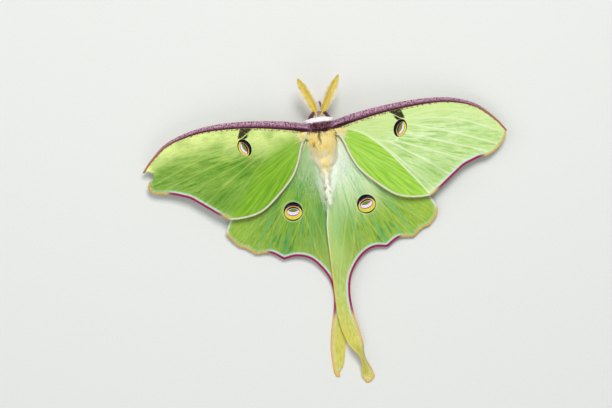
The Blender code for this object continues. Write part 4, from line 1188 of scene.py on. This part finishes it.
def antenna(side, finish, rng):
    """A jointed shaft whose every segment bears two pairs of fringed branches, as a male's does."""
    hand = SIDES[side]
    course = along([(hand * x, y, z) for x, y, z in ANTENNAE[side]], ROD_STEP)
    share = np.linspace(0, 1, len(course))
    joints = 1 + JOINT_SWELL * np.cos(share * ANTENNA_SEGMENTS * FULL_TURN)
    radii = (SHAFT_RADIUS - SHAFT_TAPER * share) * joints
    radii[share < FOOT_SHARE] = FOOT_RADIUS
    radii[-1] = TIP_RADIUS
    pieces = [loft(course, radii, 10)]
    ways = unit(np.gradient(course, axis=0))
    t = np.linspace(0, 1, 8)[:, None]
    for segment in range(ANTENNA_SEGMENTS):
        for twin in (0, 1):
            at = BRANCH_START + BRANCH_SPAN * (segment + 0.5 * twin) / ANTENNA_SEGMENTS
            k = int(at * (len(course) - 1))
            forward = ways[k]
            outward = unit(np.cross(forward, UP))
            above = np.cross(outward, forward)
            full = min(1, 0.5 + 1.3 * at) * (1 - max(0, (at - 0.4) / 0.6) ** 1.25)
            for flank in (-1, 1):
                rise = OUTER_RISE if flank == hand else INNER_RISE
                rise = math.radians(rise + TWIN_RISE * twin + rng.normal(0, 1.5))
                sideways = outward * (flank * math.cos(rise)) + above * math.sin(rise)
                sweep = BRANCH_SWEEP - TWIN_SWEEP * twin + rng.normal(0, 0.02)
                lie = sideways * math.sin(sweep) + forward * math.cos(sweep)
                length = BRANCH_LENGTH * full * rng.uniform(0.95, 1.03) * (1 - TWIN_LOSS * twin)
                line = course[k] + lie * length * t + forward * (BRANCH_BEND * length * t * t)
                verts, faces, values = loft(line, BRANCH_RADIUS * (1 - 0.45 * t[:, 0] ** 2), 5)
                pieces.append((verts, faces, columns(at, values[:, 0] * length / BRANCH_LENGTH, 0)))
                pieces += branch_fringe(line, lie, np.cross(lie, above), at, length, rng)
    verts, faces, values = gather(pieces)
    made = mesh_object(f"antenna_{side}_plume", verts, faces, finish, plume=values)
    settle(made, "antenna", f"antenna_{side}")


def branch_fringe(line, lie, flank, at, length, rng):
    """Fine bristles that close the gaps between neighbouring branches."""
    pieces = []
    flank = unit(flank)
    for t in np.arange(0.15, 1, 0.14):
        k = t * (len(line) - 1)
        low = min(int(k), len(line) - 2)
        root = line[low] + (line[low + 1] - line[low]) * (k - low)
        for hand in (-1, 1):
            tip = root + (flank * hand * 0.55 + lie * 0.8) * BRISTLE_LENGTH * rng.uniform(0.8, 1.2)
            wide = unit(np.cross(tip - root, flank + lie * 0.3)) * BRISTLE_SIZE
            thin = unit(np.cross(tip - root, wide)) * BRISTLE_SIZE
            verts = np.stack([root + wide, root - wide + thin, root - wide - thin, tip])
            faces = np.array([(0, 1, 3), (1, 2, 3), (2, 0, 3), (0, 2, 1)])
            pieces.append((verts, faces, np.tile((at, t * length / BRANCH_LENGTH, 1), (4, 1))))
    return pieces


def antenna_finish():
    finish = Finish("antenna_chitin", 0.75, 0.15)
    _, out, fringe = finish.read("plume").split()
    speckle = finish.places().noise(900, 2)
    finish.colour(out.smooth(0.05, 0.5).mix((228, 202, 56), (232, 216, 104)).under(
        (out.smooth(0.42, 0.75), (254, 243, 212)),
        (speckle.smooth(0.45, 0.75) * 0.3, (170, 120, 30)),
        (out.smooth(0.05, 0) * (1 - fringe), (246, 206, 88))))
    return finish


# Hip, knee, shin's top, ankle and toe of each leg
LEGS = {
    "front": {"left": [(1.5, -1.2, 4.4), (2.3, -0.1, 3), (3.1, 1.9, 3.7), (1.4, 4.1, 1.4),
                       (0.45, 6.8, 0.25)],
              "right": [(1.5, -1.2, 4.4), (2.3, -0.1, 3), (2.9, 1.9, 3.7), (1.5, 4.1, 1.4),
                        (0.7, 6.9, 0.25)]},
    "middle": [(1.9, -3, 4.2), (3.3, -3.2, 3.1), (6, -3, 4.3), (8, -1.8, 0.9), (10.2, -1, 0.25)],
    "hind": [(1.8, -4.9, 4.4), (3, -6, 3.2), (4.9, -8, 3.9), (6.8, -11.4, 0.9), (7.8, -13.8, 0.25)],
}
# Radii at both ends of coxa, femur and tibia, and their swell between
LEG_RODS = [(0.62, 0.55, 0.12), (0.52, 0.46, 0.16), (0.44, 0.32, 0.12)]
LEG_BOW = 0.12
# Tufts for each millimetre of leg, and the height below which it bears none
LEG_HAIRS = 96
LEG_HAIR_FLOOR = 0.7
TARSAL_JOINTS = 5
# Radius of the first tarsal bead, and how much less each next one has
TARSUS_RADIUS = 0.3
TARSUS_TAPER = 0.012
CLAW_LENGTH = 0.5
CLAW_SPREAD = 0.22
CLAW_DROP = 0.24
CLAW_RADIUS = 0.09
TOE_RISE = 0.1
LOWEST = 0.02


def leg(name, side, finish, hair_finish, rng):
    """Coxa, femur and tibia as tapered rods, a tarsus of five beads, and a pair of claws."""
    course = LEGS[name][side] if name == "front" else LEGS[name]
    hip, knee, shin, ankle, toe = np.array(course) * (SIDES[side], 1, 1)
    toe = toe + (0, 0, TOE_RISE)
    pieces, rods = [], []
    t = np.linspace(0, 1, 15)
    for start, end, (r0, r1, swell) in zip((hip, knee, shin), (knee, shin, ankle), LEG_RODS):
        line = start + (end - start) * t[:, None] + columns(0, 0, LEG_BOW * np.sin(np.pi * t))
        radii = r0 + (r1 - r0) * t + swell * np.sin(np.pi * t)
        radii *= 1 - 0.55 * np.clip((np.abs(t - 0.5) - 0.42) / 0.08, 0, 1) ** 2
        pieces.append(loft(line, radii, 14))
        rods.append((line, radii, int(LEG_HAIRS * np.sum(np.linalg.norm(np.diff(line, axis=0), axis=1)))))
    bead = 0.72 + 0.28 * np.sin(np.pi * (0.15 + 0.75 * np.linspace(0, 1, 7)))
    for k in range(TARSAL_JOINTS):
        t = np.linspace(k / TARSAL_JOINTS, (k + 1) / TARSAL_JOINTS, 7)[:, None]
        pieces.append(loft(ankle + (toe - ankle) * t, (TARSUS_RADIUS - TARSUS_TAPER * k) * bead, 10, 1))
    ahead = unit(unit(toe - ankle) * (1, 1, 0))
    aside = np.cross(ahead, UP)
    t = np.linspace(0, 1, 8)[:, None]
    for flank in (-1, 1):
        line = toe + ahead * CLAW_LENGTH * t + aside * flank * CLAW_SPREAD * np.sqrt(t + 0.02)
        line = line - (0, 0, CLAW_DROP) * t * t
        pieces.append(loft(line, CLAW_RADIUS * (1 - 0.85 * t[:, 0]), 6, 2))
    verts, faces, values = gather(pieces)
    verts[:, 2] = np.maximum(verts[:, 2], LOWEST)
    made = mesh_object(f"leg_{name}_{side}_jointed", verts, faces, finish, limb=values)
    settle(made, "leg", f"leg_{name}_{side}")
    leg_hair(f"leg_{name}_{side}_hair", rods, hair_finish, rng)


def leg_hair(name, rods, finish, rng):
    """Hair over the rods of a leg, down to a little above the floor."""
    roots, outs, lies = rooted(rods, 0.95, rng)
    keep = roots[:, 2] > LEG_HAIR_FLOOR
    roots, outs, lies = roots[keep], outs[keep], lies[keep]
    count = len(roots)
    unwrap = rng.uniform(0.02, 0.98, (count, 2))
    lengths, widths = rng.uniform(0.45, 0.8, count), rng.uniform(0.05, 0.09, count)
    lifts = np.radians(rng.normal(16, 6, count))
    tufts(name, finish, "leg", rng, 0.3, 0.08, roots, outs, lies, lengths, widths, lifts, unwrap)


def leg_shell_finish():
    finish = Finish("leg_shell", 0.5, 0.4)
    _, part, _ = finish.read("limb").split()
    mottle = finish.places().noise(1500)
    finish.colour(mottle.smooth(0.35, 0.7).mix((108, 30, 52), (156, 62, 88)).under(
        (part.smooth(0.4, 0.6) * 0.6, (160, 70, 84)), (part.smooth(1.4, 1.6), (30, 16, 14))))
    finish.bump(mottle, 0.00004)
    return finish


def leg_hair_finish():
    finish = Finish("leg_hair", 0.75, 0.15, 0.3)
    share, tone, _ = finish.read("hair").split()
    finish.colour(tone.smooth(0.1, 0.9).mix((132, 42, 70), (204, 126, 150)).under(
        (share.smooth(0.2, 1), (206, 164, 168))))
    return finish


EYE_CENTRE = (1.6, 2.7, 4.85)
EYE_RADIUS = 0.8
EYE_FACETS = 2600


def eye(side, finish):
    """A compound eye: a round swelling with its facets raised."""
    k = np.arange(EYE_FACETS) + 0.5
    polar, turn = np.arccos(1 - 2 * k / EYE_FACETS), np.pi * (1 + 5 ** 0.5) * k
    bm = bmesh.new()
    for spot in columns(np.sin(polar) * np.cos(turn), np.sin(polar) * np.sin(turn), np.cos(polar)):
        bm.verts.new(spot)
    bmesh.ops.convex_hull(bm, input=bm.verts)
    bm.verts.index_update()
    verts = np.array([v.co[:] for v in bm.verts])
    faces = np.array([[v.index for v in f.verts] for f in bm.faces])
    bm.free()
    points = np.vstack([unit(verts), unit(verts[faces].mean(1)) * 0.988])
    middles = np.arange(len(faces)) + len(verts)
    fans = np.vstack([columns(faces[:, j], faces[:, (j + 1) % 3], middles) for j in range(3)])
    centre = np.array(EYE_CENTRE) * (SIDES[side], 1, 1)
    made = mesh_object(f"eye_{side}_facets", centre + points * EYE_RADIUS, fans, finish)
    settle(made, "eye", f"eye_{side}")


def eye_finish():
    finish = Finish("compound_eye", 0.22, 0.6)
    finish.colour(finish.places().noise(700, 2).smooth(0.4, 0.65).mix((30, 18, 16), (70, 42, 34)))
    return finish


PALP = [(0.42, 2.2, 4.3), (0.5, 3.4, 3.75), (0.46, 4.2, 3.8)]
PALP_RADIUS = 0.3
PALP_TIP_RADIUS = 0.04
PALP_HAIRS = 500


def palps(finish, rng):
    """A pair of short furry palps in front of the mouth."""
    rods = []
    for hand in (-1, 1):
        line = along([(hand * x, y, z) for x, y, z in PALP], ROD_STEP)
        radii = PALP_RADIUS * (1 - 0.55 * np.linspace(0, 1, len(line)) ** 2)
        radii[-1] = PALP_TIP_RADIUS
        rods.append((line, radii, PALP_HAIRS))
    verts, faces, values = gather([loft(line, radii, 12) for line, radii, _ in rods])
    settle(mesh_object("palps", verts, faces, finish, root=verts, hair=values), "white_coat")
    roots, outs, lies = rooted(rods, 0.9, rng)
    count = len(roots)
    lengths, widths = rng.uniform(0.35, 0.6, count), rng.uniform(0.05, 0.08, count)
    lifts = np.radians(rng.normal(16, 6, count))
    unwrap = rng.uniform(0.02, 0.98, (count, 2))
    tufts("palp_hair", finish, "white_coat", rng, 0.3, 0.05,
          roots, outs, lies, lengths, widths, lifts, unwrap)


# Studio

CAMERA_AIM = (-6.79, 8.76 - ORIGIN_BEHIND_ROOTS)
CAMERA_TURN = math.radians(-7)
WING_PLANE = 6
LENS, SENSOR = 100, 36
VIEW_WIDTH = 174.8
FLOOR_SIZE = 1200
SKY = (0.93, 0.96, 1, 1)
SKY_STRENGTH = 0.26
# Where each light hangs, its size in metres and its power
LIGHTS = {"key_light": ((90, 250, 560), 0.24, 2.82), "fill_light": ((-420, 60, 420), 0.5, 0.95),
          "back_light": ((60, -420, 380), 0.4, 0.6)}
LIGHT_AIM = (0, -20, 5)


def studio():
    """Camera over the moth, pale floor, soft lights and a pale sky."""
    scene = bpy.context.scene
    camera = bpy.data.cameras.new("camera")
    camera.lens = LENS
    camera.sensor_width = SENSOR
    camera.clip_start = 0.01
    stand = bpy.data.objects.new("camera", camera)
    stand.location = place((*CAMERA_AIM, WING_PLANE + VIEW_WIDTH * LENS / SENSOR))
    stand.rotation_euler = (0, 0, CAMERA_TURN)
    scene.collection.objects.link(stand)
    bpy.context.scene.camera = stand

    corners = [(x * FLOOR_SIZE, y * FLOOR_SIZE, 0) for x, y in ((-1, -1), (1, -1), (1, 1), (-1, 1))]
    ground = Finish("floor_paper", 0.9, 0.1)
    ground.colour(ground.places().noise(2500, 2).smooth(0.2, 0.8).mix((221, 222, 218), (226, 227, 223)))
    mesh_object("floor", corners, [(0, 1, 2, 3)], ground, smooth=False)

    world = bpy.data.worlds.new("studio")
    world.use_nodes = True
    sky = world.node_tree.nodes["Background"]
    sky.inputs["Color"].default_value = SKY
    sky.inputs["Strength"].default_value = SKY_STRENGTH
    scene.world = world
    scene.view_settings.view_transform = "Standard"
    for name, (spot, size, power) in LIGHTS.items():
        lamp = bpy.data.lights.new(name, "AREA")
        lamp.size = size
        lamp.energy = power
        holder = bpy.data.objects.new(name, lamp)
        holder.location = place(spot)
        aim = Vector(place(LIGHT_AIM)) - holder.location
        holder.rotation_euler = aim.to_track_quat("-Z", "Y").to_euler()
        scene.collection.objects.link(holder)


def main():
    for old in list(bpy.data.objects):
        bpy.data.objects.remove(old)
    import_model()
    studio()
    rng = np.random.default_rng(SEED)
    for side in SIDES:
        for kind in WINGS:
            wing(kind, side, wing_finish(kind, side), rng)
    coat = coat_finish()
    points, outs = body_grid()
    body_skin(points, coat)
    body_coat(points, outs, coat, rng)
    mint, purple = wing_hair_finish(), band_hair_finish()
    shaft, glass = antenna_finish(), eye_finish()
    shell, bristle = leg_shell_finish(), leg_hair_finish()
    for side in SIDES:
        wing_hair(side, mint, purple, rng)
        antenna(side, shaft, rng)
        eye(side, glass)
        for name in LEGS:
            leg(name, side, shell, bristle, rng)
    palps(coat, rng)


main()
